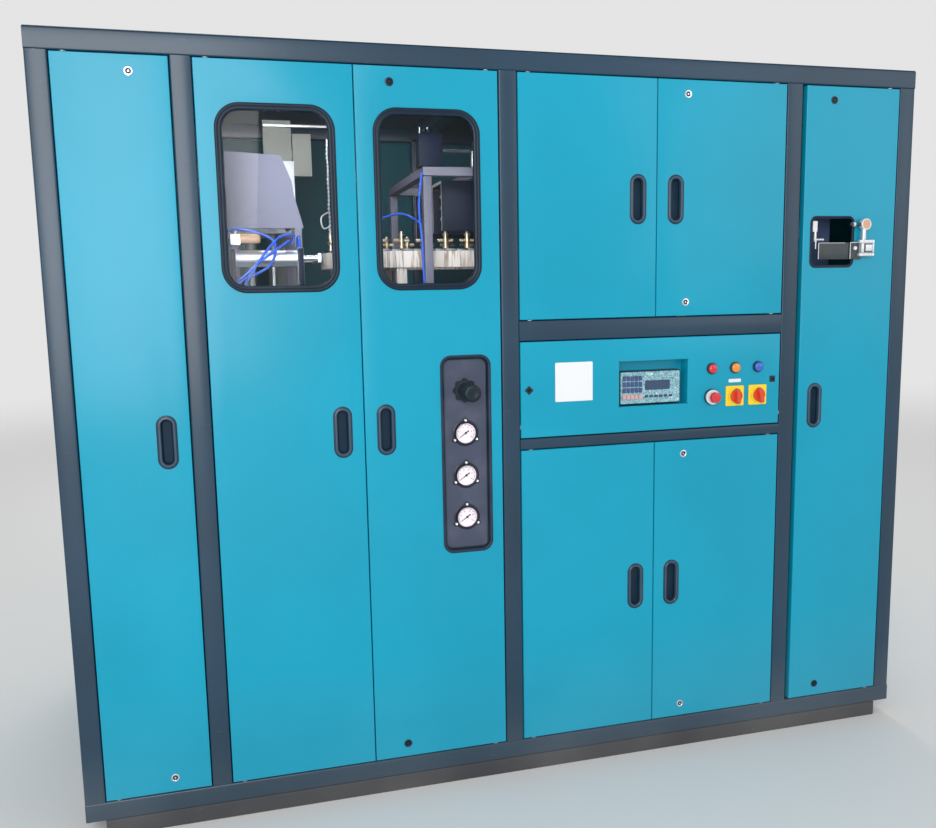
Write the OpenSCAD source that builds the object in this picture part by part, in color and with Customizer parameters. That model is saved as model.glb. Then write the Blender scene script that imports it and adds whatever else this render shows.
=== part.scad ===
// Blow moulding machine for plastic bottles: a free-standing steel cabinet with
// flush doors, an operator panel, a bottle blowing station and a preform oven.
// X runs along the front from left to right, Y from front to back, Z is up.
// The origin is the middle of the footprint, on the floor.

/* [Cabinet frame] */
// Width over the outer posts
frame_w = 2420; // [2330:1:2600]
// Depth from the front face to the rear face
frame_d = 1200; // [1150:10:1500]
// Height from the floor to the top rail
frame_h = 2000; // [1990:1:2100]
// Outer size of the square tube
tube = 50; // [46:1:54]
// Wall of the square tube
tube_wall = 3; // [2:0.5:5]
// Hairline left at each butt weld
weld_gap = 0.2; // [0.1:0.05:0.3]
// Height of the black plinth
plinth_h = 45; // [30:1:70]
// Plinth set back from each end of the frame
plinth_inset = 48; // [20:1:90]
// Width of each plinth bar
plinth_bar = 60; // [40:1:90]
// Share of the clear width that the left bay takes
left_bay = 266.5; // [255:0.5:280]
// Share of the clear width that the mould bay takes
mould_bay = 765; // [755:1:790]
// Share of the clear width that the centre bay takes
centre_bay = 810.5; // [795:0.5:840]
// Share of the clear width that the right bay takes
right_bay = 328; // [315:1:350]

/* [Doors] */
// Gap round each door
door_gap = 2.5; // [2:0.1:3]
// Wider gap left of the right door
right_gap = 13.5; // [8:0.5:20]
// Thickness of a folded door
door_t = 20; // [18:0.5:22]
// Sheet thickness of doors and covers
sheet = 1.6; // [1.2:0.1:2.5]
// Share of the mould bay that its left leaf takes
mould_leaf = 382; // [375:1:390]
// Share of the mould bay that the gauge door takes
gauge_leaf = 375.5; // [370:0.5:385]
// Height of the lower centre doors
lower_door_h = 844; // [800:1:880]
// Height of the thin rail below the operator panel
low_rail_h = 30; // [25:1:40]
// Height of the operator panel
panel_h = 265; // [258:1:280]
// Height of the rail above the operator panel
high_rail_h = 55; // [45:1:60]
// Hinge pivot in from the edge of its door
hinge_in = 30; // [28:0.5:34]
// Diameter of a pivot pin
hinge_pin_d = 10; // [8:0.5:12]
// Running clearance round pins and spindles
fit = 0.05; // [0.02:0.01:0.09]

/* [Pulls and locks] */
// Width of a flush pull
pull_w = 50; // [46:1:56]
// Height of a flush pull
pull_h = 136; // [120:1:150]
// Width of the rim round the pull recess
pull_rim = 11; // [8:0.5:12]
// Depth of the pull recess
pull_depth = 15; // [10:0.5:16]
// Pull centre in from the free edge
pull_in = 56; // [50:1:62]
// Lock centre in from the free edge
lock_in = 90; // [84:1:96]
// Lock centre in from the top or bottom edge
lock_drop = 38.5; // [36:0.5:44]
// Lock centre in from the panel side
panel_lock_in = 24; // [22:0.5:26]
// Diameter of a lock face
lock_face_d = 22; // [18:0.5:26]
// Diameter of a lock barrel
lock_barrel_d = 16; // [12:0.5:17]
// Overlap of a turned cam on its keeper
cam_catch = 7; // [4:0.5:8]

/* [Windows] */
// Width of the mould window over its gasket
mould_window_w = 292; // [270:1:300]
// Width of the gauge door window over its gasket
gauge_window_w = 281; // [260:1:290]
// Height of both windows over the gasket
window_h = 460; // [430:1:480]
// Window centre below the top of the frame
window_drop = 383; // [360:1:395]
// Window centre off the door centre
window_shift = -3; // [-5:0.5:5]
// Corner radius of the gasket
window_r = 62; // [50:1:75]
// Visible width of the gasket
gasket_w = 18; // [16:0.5:22]
// Lap of the gasket over the door sheet
gasket_lap = 8; // [6:0.5:9]
// Thickness of the clear pane
pane_t = 4; // [3:0.5:5]

/* [Gauge tray] */
// Width of the moulded tray
tray_w = 141; // [136:1:146]
// Height of the moulded tray
tray_h = 544; // [530:1:560]
// Corner radius of the tray
tray_r = 30; // [24:1:38]
// Depth of the tray floor behind the door face
tray_depth = 14; // [10:0.5:15]
// Tray centre in from the hinged edge
tray_in = 100.5; // [98:0.5:104]
// Tray centre below the window centre
tray_drop = 676; // [640:1:700]
// Pitch of the knob and the three gauges
gauge_pitch = 116.8; // [110:0.1:122]
// Diameter of the gauge bezel
bezel_d = 63; // [61:0.5:64]
// Diameter of the dial
dial_d = 55; // [50:0.5:56]
// Radius of the gauge fixing screws
gauge_screw_r = 35.5; // [34.5:0.5:37]
// Diameter of the regulator knob
knob_d = 47; // [42:1:54]
// Diameter of the scalloped nut behind the knob
knob_nut_d = 67; // [60:1:70]
// Reach of the knob in front of the door
knob_reach = 78; // [60:1:90]

/* [Operator panel] */
// Width of the name plate
plate_w = 111; // [100:1:120]
// Height of the name plate
plate_h = 109; // [100:1:115]
// Name plate centre from the left edge
plate_x = 155.5; // [140:0.5:170]
// Name plate centre above the lower edge
plate_z = 151; // [145:0.5:156]
// Width of the terminal recess
recess_w = 213; // [205:1:225]
// Height of the terminal recess
recess_h = 128.5; // [120:0.5:136]
// Depth of the terminal recess
recess_depth = 42; // [30:1:50]
// Recess centre off the middle of the panel
recess_shift = -4.25; // [-16:0.25:9]
// Recess centre above the lower edge
recess_z = 137; // [130:0.5:142]
// Width of the operator terminal
terminal_w = 190; // [180:1:196]
// Height of the operator terminal
terminal_h = 96; // [90:1:104]
// Pitch of the lamps and switches
switch_pitch = 75; // [70:1:80]
// First lamp in from the right edge
switch_in = 223.5; // [211:0.5:230]
// Lamp row above the lower edge
lamp_z = 170.5; // [165:0.5:180]
// Switch row above the lower edge
switch_z = 88; // [82:0.5:94]
// Diameter of a lamp lens
lamp_d = 29; // [26:0.5:32]
// Size of an isolator front plate
isolator_size = 59; // [55:1:63]
// Diameter of the stop button head
stop_d = 31; // [28:0.5:34]
// Travel of the stop button
stop_travel = 6; // [4:0.5:7]

/* [Service opening] */
// Size of the square opening over its edging
service_size = 150; // [140:1:158]
// Opening centre from the left edge of the door
service_x = 98; // [92:1:106]
// Opening centre below the top of the frame
service_drop = 494; // [470:1:520]
// Corner radius of the opening
service_r = 20; // [14:1:26]
// Width of the rubber edging
edging_w = 8; // [6:0.5:10]

/* [Blowing station] */
// Thickness of the machine table
table_t = 12; // [10:1:16]
// Depth of the front clamp plate
clamp_y = 250; // [240:1:262]
// Depth of the mould parting line
parting_y = 470; // [465:1:480]
// Thickness of the clamp plates
clamp_t = 12; // [10:1:16]
// Diameter of a tie bar
tie_bar_d = 20; // [16:1:22]
// Travel of each mould half
mould_travel = 42.8; // [40:0.2:42.8]
// Gap left between closed mould halves
mould_gap = 0.2; // [0.1:0.1:0.4]
// Thickness of one mould half
mould_t = 60; // [52:1:62]
// Width of a mould half
mould_w = 130; // [120:1:136]
// Height of a mould half
mould_h = 130; // [120:1:134]
// Underside of the mould above the machine table
mould_rise = 218; // [216:1:222]
// Mould centre in from the second post
mould_in = 210.5; // [206:0.5:213]
// Diameter of a bottle cavity
cavity_d = 46; // [40:1:52]
// Pitch of the two cavities and of the carriers
pitch = 65; // [62:0.5:66]
// Diameter of a stretch rod
stretch_rod_d = 10; // [8:0.5:11]
// Travel of the stretch rods
stretch_travel = 150; // [120:1:152]
// Travel of the blow nozzles
nozzle_travel = 38; // [30:1:39]
// Outer diameter of a blow nozzle
nozzle_d = 20; // [18:0.5:22]

/* [Preform transport] */
// Depth of the front run of carriers
run_y = 260; // [255:1:270]
// Left wheel centre from the mould centre
wheel_in = 321.6; // [319:0.1:325]
// Carriers round one end wheel
wrap_links = 6; // [6:1:6]
// Width of the aluminium track
track_w = 60; // [50:1:64]
// Top of the track below the top of the frame
track_drop = 501; // [498:1:506]
// Height of the track block
track_h = 47; // [40:1:52]
// Height of the pillars under the track
pillar_h = 70; // [60:1:82]
// Diameter of a brass mandrel
mandrel_d = 18; // [15:0.5:20]
// Height of a mandrel above the chain
mandrel_h = 45; // [40:1:48]
// Tube size of the oven stand
stand_tube = 25; // [22:1:30]
// Width of an oven hood
hood_w = 120; // [110:1:130]
// Height of an oven hood
hood_h = 140; // [130:1:146]
// Length of one straight run that its hood leaves clear
hood_short = 275; // [255:5:375]

/* [Hidden] */
$fn = 48;

frame_black = [0.20, 0.21, 0.26];
door_teal = [0.10, 0.62, 0.74];
rubber_black = [0.07, 0.07, 0.08];
tray_grey = [0.22, 0.23, 0.29];
steel = [0.62, 0.64, 0.66];
chrome = [0.80, 0.81, 0.83];
brass = [0.80, 0.62, 0.28];

bay_unit = (frame_w - 5 * tube) / (left_bay + mould_bay + centre_bay + right_bay);
left_bay_w = left_bay * bay_unit;
mould_bay_w = mould_bay * bay_unit;
centre_bay_w = centre_bay * bay_unit;
post_x = [
  0,
  tube + left_bay_w,
  2 * tube + left_bay_w + mould_bay_w,
  3 * tube + left_bay_w + mould_bay_w + centre_bay_w,
  frame_w - tube
];
base_z = plinth_h;
bottom_z = base_z + tube;
top_z = frame_h - tube;
rear_y = frame_d - tube;

door_z0 = bottom_z + door_gap;
door_z1 = top_z - door_gap;
lower_z1 = door_z0 + lower_door_h;
low_rail_z = lower_z1 + door_gap;
panel_z0 = low_rail_z + low_rail_h + door_gap;
panel_z1 = panel_z0 + panel_h;
high_rail_z = panel_z1 + door_gap;
upper_z0 = high_rail_z + high_rail_h + door_gap;

left_x0 = post_x[0] + tube + door_gap;
left_x1 = post_x[1] - door_gap;
mould_x0 = post_x[1] + tube + door_gap;
mould_x1 = mould_x0 + (mould_bay_w - 3 * door_gap) * mould_leaf / (mould_leaf + gauge_leaf);
gauge_x0 = mould_x1 + door_gap;
gauge_x1 = post_x[2] - door_gap;
centre_x0 = post_x[2] + tube + door_gap;
centre_x1 = post_x[3] - door_gap;
centre_mid = (centre_x0 + centre_x1) / 2;
right_x0 = post_x[3] + tube + right_gap;
right_x1 = post_x[4] - door_gap;

hinge_y = door_t / 2;
pin_reach = 12;
collar_d = hinge_pin_d + 8;
seat_gap = 0.3;

pull_back = door_t - 3;
pull_proud = 1.5;
pull_wall = 2;

keeper_t = 2.5;
keeper_y = door_t + 0.8;
keeper_w = 30;
keeper_drop = 18;
cam_t = 3;
cam_y = keeper_y + keeper_t + 0.7;
cam_w = 14;
lock_face_t = 2;
cam_len = lock_drop + door_gap - keeper_drop + cam_catch;
panel_keeper_drop = panel_lock_in + door_gap - 10;
panel_cam_len = 10 + cam_catch;

window_z = frame_h - window_drop;
mould_window_x = (mould_x0 + mould_x1) / 2 + window_shift;
gauge_window_x = (gauge_x0 + gauge_x1) / 2 + window_shift;
gasket_proud = 4;
gasket_back = 12;
pane_y = 4;
pane_bite = 5;

tray_x = gauge_x1 - tray_in;
tray_z = window_z - tray_drop;
tray_lip = 6;
tray_wall = 3;
tray_proud = 2;
knob_z = tray_z + 1.5 * gauge_pitch;
gauge_z = [for (i = [0:2]) tray_z + (0.5 - i) * gauge_pitch];
case_d = bezel_d - 5;
case_back = 58;
bezel_t = 8;
flange_t = 3;
bezel_y = tray_depth - flange_t - bezel_t;
dial_y = tray_depth - flange_t;
needle_t = 0.8;
needle_lift = 1.2;
needle_pin_d = 3;
knob_root_y = tray_depth - 8;
knob_nut_t = 8;
spindle_d = 12;
regulator_d = 40;
regulator_back = 80;

recess_x = centre_mid + recess_shift;
lamp_x = [for (i = [0:2]) centre_x1 - switch_in + i * switch_pitch];
switch_row_z = panel_z0 + switch_z;
plate_t = 1.5;
terminal_t = 30;
terminal_shift = -5;
recess_back = recess_depth + sheet;
isolator_plate_t = 3;
isolator_hub_d = 44;
isolator_hub_t = 6;
handle_w = 14;
handle_t = 18;
stop_ring_d = 43;
stop_ring_t = 12;
stop_stem_d = 16;
stop_head_t = 12;
switch_back = 60;

service_mid_x = right_x0 + service_x;
service_z = frame_h - service_drop;
service_inner = service_size - 2 * edging_w;
service_hole = service_size - edging_w;
service_hole_r = service_r - edging_w / 2;
edging_t = 2;
edging_back = 6;

track_z = frame_h - track_drop;
table_z = track_z - track_h - pillar_h;
table_under = table_z - table_t;
mould_x = post_x[1] + mould_in;
mould_z = table_z + mould_rise;
wheel_x = mould_x + wheel_in;
run_margin = 155;
straight_links = floor((post_x[3] - wheel_x - run_margin) / pitch);
run_span = pitch * straight_links;
wheel_r = wrap_links * pitch / PI;
wheel_y = run_y + wheel_r;
wheel_x2 = wheel_x + run_span;
chain_w = 16;
chain_t = 8;
chain_z = track_z + seat_gap;
mandrel_z = chain_z + chain_t;
arm_d = 7;
arm_l = 38;
shaft_d = 30;
wheel_rim_r = wheel_r - chain_w / 2 - seat_gap;
wheel_notch_r = 9;
pillar_in = 60;
pillar_w = 30;
pillar_d = 40;
bearing_w = 20;
bearing_h = 14;
gearbox_w = 110;
gearbox_h = 130;
motor_d = 120;
motor_l = 220;
motor_z1 = table_under - gearbox_h;
fin_h = 6;
fin_pitch = 22;

rear_clamp_y = 2 * parting_y - clamp_y;
mould_face_y = parting_y - mould_gap / 2 - mould_travel;
platen_t = 15;
platen_y = mould_face_y - mould_t - platen_t;
ram_d = 28;
clamp_cyl_d = 70;
clamp_cyl_l = 78;
ram_y = clamp_y + clamp_t + 7;
clamp_x0 = mould_x - 94;
clamp_foot_w = 204;
clamp_head_w = 149;
leg_w = 20;
nut_t = 12;
blind_t = 6;
tie_bars = [
  [mould_x - 77, mould_z - 15],
  [mould_x + 85, mould_z - 15],
  [mould_x - 77, mould_z + mould_h + 15],
  [mould_x + 38, mould_z + mould_h + 15]
];
platen_w = 190;
platen_x = mould_x - 92;
platen_z0 = tie_bars[0][1] - 14;
platen_z1 = tie_bars[2][1] + 14;
plate_foot_z = tie_bars[0][1] - 21;
plate_rise = tie_bars[2][1] + 23 - plate_foot_z;
cavity_x = [mould_x - pitch / 2, mould_x + pitch / 2];
cavity_z0 = mould_z + 12;
cavity_z1 = mould_z + mould_h - 12;
neck_d = 24;

nozzle_hang = 60;
nozzle_plate_z = table_under - nozzle_hang;
nozzle_plate_t = 12;
nozzle_top = mould_z - nozzle_travel - 2;
column_reach = 97.5;
column_x = [mould_x - column_reach, mould_x + column_reach];
column_d = 20;
column_edge = 20;
slide_plate_w = 60;
station_floor_w = 90;
station_drop = 502;
station_floor_z = table_z - station_drop;
crosshead_gap = 30;
crosshead_z = nozzle_plate_z - stretch_travel - crosshead_gap;
crosshead_t = 15;
stretch_top = nozzle_top - 5;
stretch_cyl_d = 50;
stretch_cyl_top = crosshead_z - 20;
piston_rod_d = 16;

transfer_y = 125;
transfer_z = track_z - 22;
transfer_x0 = post_x[1] + tube + 65.5;
transfer_l = 189;
transfer_x1 = transfer_x0 + transfer_l;
transfer_bore = 30;
transfer_cap = 52;
transfer_cap_t = 16;
piston_x = transfer_x0 + 105;
piston_t = 15;
rod_end_x = transfer_x1 + 38;
rod_end_t = 14;
arm_reach = 170;

stand_x0 = wheel_x + 99.4;
stand_x1 = stand_x0 + run_span - 55;
stand_y0 = 110;
stand_y1 = 640;
stand_rise = 166;
stand_top = mandrel_z + mandrel_h + stand_rise;
hood_in = 172;
hood_x0 = wheel_x + hood_in;
hood_l = run_span - hood_short;
hood_tie_in = 80;
hood_z1 = stand_top - stand_tube - seat_gap;
hood_wall = 10;
lamp_tube_d = 10;
lamp_off = hood_w / 2 - hood_wall - lamp_tube_d / 2 - seat_gap;
lamp_in = 20;
lamp_drop = 35;
lamp_pitch = 32;

receiver_x = tube + left_bay_w / 2;
receiver_y = 420;
receiver_d = 210;
receiver_wall = 6;
receiver_z0 = 330;
receiver_drop = 600;
receiver_z1 = frame_h - receiver_drop;
receiver_bung_d = 20;
receiver_leg_w = 40;
receiver_leg_t = 8;
unit_x = post_x[3] + tube + 33;
unit_y = 96;

valve_w = 64;
valve_d = 46;
valve_h = 86;
silencer_d = 13;
silencer_h = 18;
valve_rod_l = 116;
valve_rod_d = 8;
valve_post_d = 14;
loop_pipe_d = 8;
loop_r = 32;
drop_pipe_d = 10;
drop_pipe_in = 40;
drop_pipe_pitch = 14;

unit_w = 140;
unit_d = 90;
unit_h = 170;
shelf_w = 40;
shelf_h = 50;
shelf_t = 4;

gear_y = 700;
gear_x0 = centre_x0 + 16;
gear_x1 = centre_x1 - 16;
gear_unit = (gear_x1 - gear_x0) / 21.5;
gear_left = gear_x0 + 1.7 * gear_unit;
gear_z0 = 160;
gear_z1 = 900;
gear_plate_t = 3;
gear_post_w = 30;
breaker_z = 760;
breaker_h = 85;
breaker_d = 70;
contactor_z = 560;
contactor_h = 90;
contactor_d = 85;
controller_d = 130;
drive_z = 230;
drive_h = 210;
drive_d = 120;
supply_d = 90;
duct_y = rear_clamp_y + 40;
duct_x0 = mould_x + 32;
duct_x1 = mould_x + 121;
duct_d = 60;
junction_gap = 4;
junction_w = 59;
junction_h = 134;
junction_d = 50;
junction_z1 = top_z - 51;
rail_z = top_z - 32;
rail_t = 8;
rail_over = 120;

module block(x0, x1, y0, y1, z0, z1)
  translate([x0 - frame_w / 2, y0 - frame_d / 2, z0]) cube([x1 - x0, y1 - y0, z1 - z0]);

module slab(x, z, y0, y1)
  translate([x - frame_w / 2, y1 - frame_d / 2, z]) rotate([90, 0, 0])
    linear_extrude(y1 - y0) children();

module rod_x(x0, x1, y, z, d)
  translate([x0 - frame_w / 2, y - frame_d / 2, z]) rotate([0, 90, 0])
    cylinder(h = x1 - x0, d = d);

module rod_y(x, y0, y1, z, d)
  translate([x - frame_w / 2, y1 - frame_d / 2, z]) rotate([90, 0, 0])
    cylinder(h = y1 - y0, d = d);

module rod_z(x, y, z0, z1, d)
  translate([x - frame_w / 2, y - frame_d / 2, z0]) cylinder(h = z1 - z0, d = d);

module round_rect(w, h, r) {
  square([w - 2 * r, h], center = true);
  square([w, h - 2 * r], center = true);
  for (sx = [-1, 1])
    for (sy = [-1, 1])
      translate([sx * (w / 2 - r), sy * (h / 2 - r)]) circle(r);
}

module stadium(w, h) {
  square([w, h - w], center = true);
  for (s = [-1, 1])
    translate([0, s * (h - w) / 2]) circle(d = w);
}

// Square tubes, one module for each direction that they run in
module tube_x(x0, x1, y, z, h = tube)
  difference() {
    block(x0, x1, y, y + tube, z, z + h);
    block(x0 - 1, x1 + 1, y + tube_wall, y + tube - tube_wall, z + tube_wall, z + h - tube_wall);
  }

// Welded caps that close both ends of a long rail
module rail_caps(y, z) {
  g = tube_wall + weld_gap;
  for (x = [0, frame_w - tube_wall])
    block(x, x + tube_wall, y + g, y + tube - g, z + g, z + tube - g);
}

module tube_y(x, y0, y1, z)
  difference() {
    block(x, x + tube, y0, y1, z, z + tube);
    block(x + tube_wall, x + tube - tube_wall, y0 - 1, y1 + 1, z + tube_wall, z + tube - tube_wall);
  }

module tube_z(x, y, z0, z1)
  difference() {
    block(x, x + tube, y, y + tube, z0, z1);
    block(x + tube_wall, x + tube - tube_wall, y + tube_wall, y + tube - tube_wall, z0 - 1, z1 + 1);
  }

// Pivot pin with its collar; dir is 1 where the door is above the pin, -1 below
module pivot_z(x, z, dir) {
  foot = z + dir * weld_gap;
  tip = z + dir * (door_gap + sheet + pin_reach);
  brim = z + dir * (door_gap - seat_gap);
  rod_z(x, hinge_y, min(foot, tip), max(foot, tip), hinge_pin_d);
  rod_z(x, hinge_y, min(foot, brim), max(foot, brim), collar_d);
}

module door_pivots(x, z0, z1) {
  pivot_z(x, z0, 1);
  pivot_z(x, z1, -1);
}

module panel_pivots() {
  reach = door_gap + sheet + pin_reach;
  collar = door_gap - seat_gap;
  z = panel_z0 + hinge_in;
  xl = post_x[2] + tube;
  xr = post_x[3];
  rod_x(xl + weld_gap, xl + reach, hinge_y, z, hinge_pin_d);
  rod_x(xl + weld_gap, xl + collar, hinge_y, z, collar_d);
  rod_x(xr - reach, xr - weld_gap, hinge_y, z, hinge_pin_d);
  rod_x(xr - collar, xr - weld_gap, hinge_y, z, collar_d);
}

// Keeper plate that a turned cam catches behind
module keeper(x, z_rail, dir) {
  foot = z_rail + dir * weld_gap;
  tip = z_rail + dir * keeper_drop;
  block(x - keeper_w / 2, x + keeper_w / 2, keeper_y, keeper_y + keeper_t,
    min(foot, tip), max(foot, tip));
}

module door_keepers(x, z0, z1) {
  keeper(x, z0, 1);
  keeper(x, z1, -1);
}

module panel_keepers() {
  z = (panel_z0 + panel_z1) / 2;
  y1 = keeper_y + keeper_t;
  xl = post_x[2] + tube;
  xr = post_x[3];
  for (x = [xl + weld_gap, xr - panel_keeper_drop])
    block(x, x + panel_keeper_drop - weld_gap, keeper_y, y1, z - keeper_w / 2, z + keeper_w / 2);
}

module plinth() color([0.10, 0.10, 0.12]) {
  x0 = plinth_inset;
  x1 = frame_w - plinth_inset;
  y1 = frame_d - plinth_inset;
  block(x0, x1, 0, plinth_bar, 0, plinth_h);
  block(x0, x1, y1 - plinth_bar, y1, 0, plinth_h);
  for (x = [x0, (x0 + x1 - plinth_bar) / 2, x1 - plinth_bar])
    block(x, x + plinth_bar, plinth_bar + weld_gap, y1 - plinth_bar - weld_gap, 0, plinth_h);
}

module main_frame() color(frame_black) {
  g = weld_gap;
  for (y = [0, rear_y]) {
    for (z = [base_z, top_z]) {
      tube_x(0, frame_w, y, z);
      rail_caps(y, z);
    }
    for (x = post_x)
      tube_z(x, y, bottom_z + g, top_z - g);
  }
  for (x = post_x) {
    tube_y(x, tube + g, rear_y - g, base_z);
    tube_y(x, tube + g, rear_y - g, top_z);
  }
  for (i = [1:3])
    tube_y(post_x[i], tube + g, rear_y - g, table_under - tube);
  tube_x(post_x[2] + tube + g, post_x[3] - g, 0, low_rail_z, low_rail_h);
  tube_x(post_x[2] + tube + g, post_x[3] - g, 0, high_rail_z, high_rail_h);
  door_pivots(left_x0 + hinge_in, bottom_z, top_z);
  door_pivots(mould_x0 + hinge_in, bottom_z, top_z);
  door_pivots(gauge_x1 - hinge_in, bottom_z, top_z);
  door_pivots(right_x1 - hinge_in, bottom_z, top_z);
  for (x = [centre_x0 + hinge_in, centre_x1 - hinge_in]) {
    door_pivots(x, bottom_z, low_rail_z);
    door_pivots(x, high_rail_z + high_rail_h, top_z);
  }
  panel_pivots();
  door_keepers(left_x1 - lock_in, bottom_z, top_z);
  door_keepers(gauge_x0 + lock_in, bottom_z, top_z);
  door_keepers(right_x0 + lock_in, bottom_z, top_z);
  door_keepers(centre_mid + door_gap / 2 + lock_in, bottom_z, low_rail_z);
  door_keepers(centre_mid + door_gap / 2 + lock_in, high_rail_z + high_rail_h, top_z);
  panel_keepers();
}

module roof_panel() color(frame_black)
  block(1, frame_w - 1, 1, frame_d - 1, frame_h, frame_h + sheet);

// Flat side cover with four welded returns behind its edges; dir points inward
module side_cover(x, dir) {
  y0 = tube + seat_gap;
  y1 = rear_y - seat_gap;
  z0 = bottom_z + seat_gap;
  z1 = top_z - seat_gap;
  face = dir > 0 ? x : x - sheet;
  back = dir > 0 ? x + sheet + weld_gap : x - door_t;
  deep = back + door_t - sheet - weld_gap;
  block(face, face + sheet, y0, y1, z0, z1);
  for (z = [z0, z1 - sheet])
    block(back, deep, y0, y1, z, z + sheet);
  for (y = [y0, y1 - sheet])
    block(back, deep, y, y + sheet, z0 + sheet + weld_gap, z1 - sheet - weld_gap);
}

module rear_cover(x0, x1) {
  y0 = frame_d - door_t;
  y1 = frame_d - sheet - weld_gap;
  z0 = bottom_z + seat_gap;
  z1 = top_z - seat_gap;
  block(x0, x1, frame_d - sheet, frame_d, z0, z1);
  for (z = [z0, z1 - sheet])
    block(x0, x1, y0, y1, z, z + sheet);
  for (x = [x0, x1 - sheet])
    block(x, x + sheet, y0, y1, z0 + sheet + weld_gap, z1 - sheet - weld_gap);
}

module lift_off_panels() color(door_teal) {
  side_cover(0, 1);
  side_cover(frame_w, -1);
  for (i = [0:3])
    rear_cover(post_x[i] + tube + seat_gap, post_x[i + 1] - seat_gap);
}

module base_tray() color(frame_black)
  block(tube + 2, frame_w - tube - 2, tube + 2, rear_y - 2, bottom_z, bottom_z + sheet);

module machine_table() color(steel)
  difference() {
    block(post_x[1] + 5, post_x[3] + tube - 5, tube + 10, rear_y - 10, table_under, table_z);
    for (x = cavity_x)
      rod_z(x, parting_y, table_under - 1, table_z + 1, nozzle_d + 6);
    for (x = [wheel_x, wheel_x2])
      rod_z(x, wheel_y, table_under - 1, table_z + 1, shaft_d + 6);
    for (x = column_x)
      rod_z(x, parting_y, table_under - 1, table_z + 1, column_d + 2 * fit);
  }

// Grey clamp plate on two legs, with its waisted right edge and tie bar holes from y_hole back
module clamp_plate(y, y_hole)
  difference() {
    union() {
      slab(clamp_x0, plate_foot_z, y, y + clamp_t)
        polygon([[0, 0], [clamp_foot_w, 0], [clamp_foot_w - 23, plate_rise * 0.43],
          [clamp_foot_w - 28, plate_rise * 0.62], [clamp_head_w, plate_rise - 8],
          [0, plate_rise]]);
      for (x = [clamp_x0 + 6, clamp_x0 + clamp_foot_w - leg_w - 6])
        block(x, x + leg_w, y, y + clamp_t, table_z, plate_foot_z + 1);
    }
    for (bar = tie_bars)
      rod_y(bar[0], y_hole, y + clamp_t + 1, bar[1], tie_bar_d + 2 * fit);
  }

module clamp_frame() {
  bar_y0 = clamp_y + blind_t;
  color([0.60, 0.60, 0.68]) {
    clamp_plate(clamp_y, bar_y0);
    clamp_plate(rear_clamp_y - clamp_t, rear_clamp_y - clamp_t - 1);
  }
  color(chrome)
    for (bar = tie_bars) {
      rod_y(bar[0], bar_y0 + seat_gap, rear_clamp_y + nut_t, bar[1], tie_bar_d);
      translate([bar[0] - frame_w / 2, rear_clamp_y + nut_t - frame_d / 2, bar[1]])
        rotate([90, 0, 0]) cylinder(h = nut_t - seat_gap, d = 1.6 * tie_bar_d, $fn = 6);
    }
}

// Clamp cylinder seated on the inner face of its plate
module clamp_cylinder(y_seat, dir) {
  y0 = dir > 0 ? y_seat : y_seat - clamp_cyl_l;
  z = mould_z + mould_h / 2;
  difference() {
    rod_y(mould_x, y0, y0 + clamp_cyl_l, z, clamp_cyl_d);
    rod_y(mould_x, dir > 0 ? y0 + 6 : y0 - 1, y0 + clamp_cyl_l + (dir > 0 ? 1 : -6), z,
      ram_d + 2 * fit);
  }
}

module transfer_cylinder() {
  x0 = transfer_x0;
  x1 = transfer_x1;
  c = transfer_cap / 2;
  difference() {
    union() {
      rod_x(x0 + 1, x1 - 1, transfer_y, transfer_z, transfer_cap - 9);
      for (x = [x0, x1 - transfer_cap_t]) {
        block(x, x + transfer_cap_t, transfer_y - c, transfer_y + c,
          transfer_z - c, transfer_z + c);
        block(x, x + transfer_cap_t, transfer_y - c, transfer_y + c,
          table_z, transfer_z - c + 1);
      }
    }
    rod_x(x0 + transfer_cap_t, x1 - transfer_cap_t, transfer_y, transfer_z, transfer_bore);
    rod_x(x1 - transfer_cap_t - 1, x1 + 1, transfer_y, transfer_z, piston_rod_d + 2 * fit);
  }
}

// Guide columns and stretch cylinder hung below the table
module stretch_station() {
  for (x = column_x) {
    rod_z(x, parting_y, station_floor_z, table_z + nut_t, column_d);
    translate([x - frame_w / 2, parting_y - frame_d / 2, table_z])
      cylinder(h = nut_t, d = 1.6 * column_d, $fn = 6);
  }
  difference() {
    union() {
      block(column_x[0] - column_edge, column_x[1] + column_edge, parting_y - station_floor_w / 2,
        parting_y + station_floor_w / 2, station_floor_z - 12, station_floor_z);
      rod_z(mould_x, parting_y, station_floor_z, stretch_cyl_top, stretch_cyl_d);
    }
    rod_z(mould_x, parting_y, station_floor_z + 10, stretch_cyl_top + 1, piston_rod_d + 2 * fit);
  }
}

module air_cylinders() color(chrome) {
  clamp_cylinder(clamp_y + clamp_t, 1);
  clamp_cylinder(rear_clamp_y - clamp_t, -1);
  transfer_cylinder();
  stretch_station();
}

// Half rings of rectangular section round both wheels
module end_rings(w, z0, h)
  for (end = [[wheel_x, 90], [wheel_x2, -90]])
    translate([end[0] - frame_w / 2, wheel_y - frame_d / 2, z0]) rotate(end[1])
      rotate_extrude(angle = 180, $fn = 96) translate([wheel_r - w / 2, 0]) square([w, h]);

// Bars of the same section along both straight runs, from x0 to x1
module run_bars(x0, x1, w, z0, h)
  for (y = [wheel_y - wheel_r, wheel_y + wheel_r])
    block(x0, x1, y - w / 2, y + w / 2, z0, z0 + h);

// Four track sections with a hairline at each joint, on six pillars
module carrier_track() color([0.86, 0.84, 0.80]) {
  end_rings(track_w, track_z - track_h, track_h);
  run_bars(wheel_x + weld_gap, wheel_x2 - weld_gap, track_w, track_z - track_h, track_h);
  for (x = [wheel_x + pillar_in, (wheel_x + wheel_x2) / 2, wheel_x2 - pillar_in])
    for (y = [wheel_y - wheel_r, wheel_y + wheel_r])
      block(x - pillar_w / 2, x + pillar_w / 2, y - pillar_d / 2, y + pillar_d / 2,
        table_z, track_z - track_h - weld_gap);
}

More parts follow.
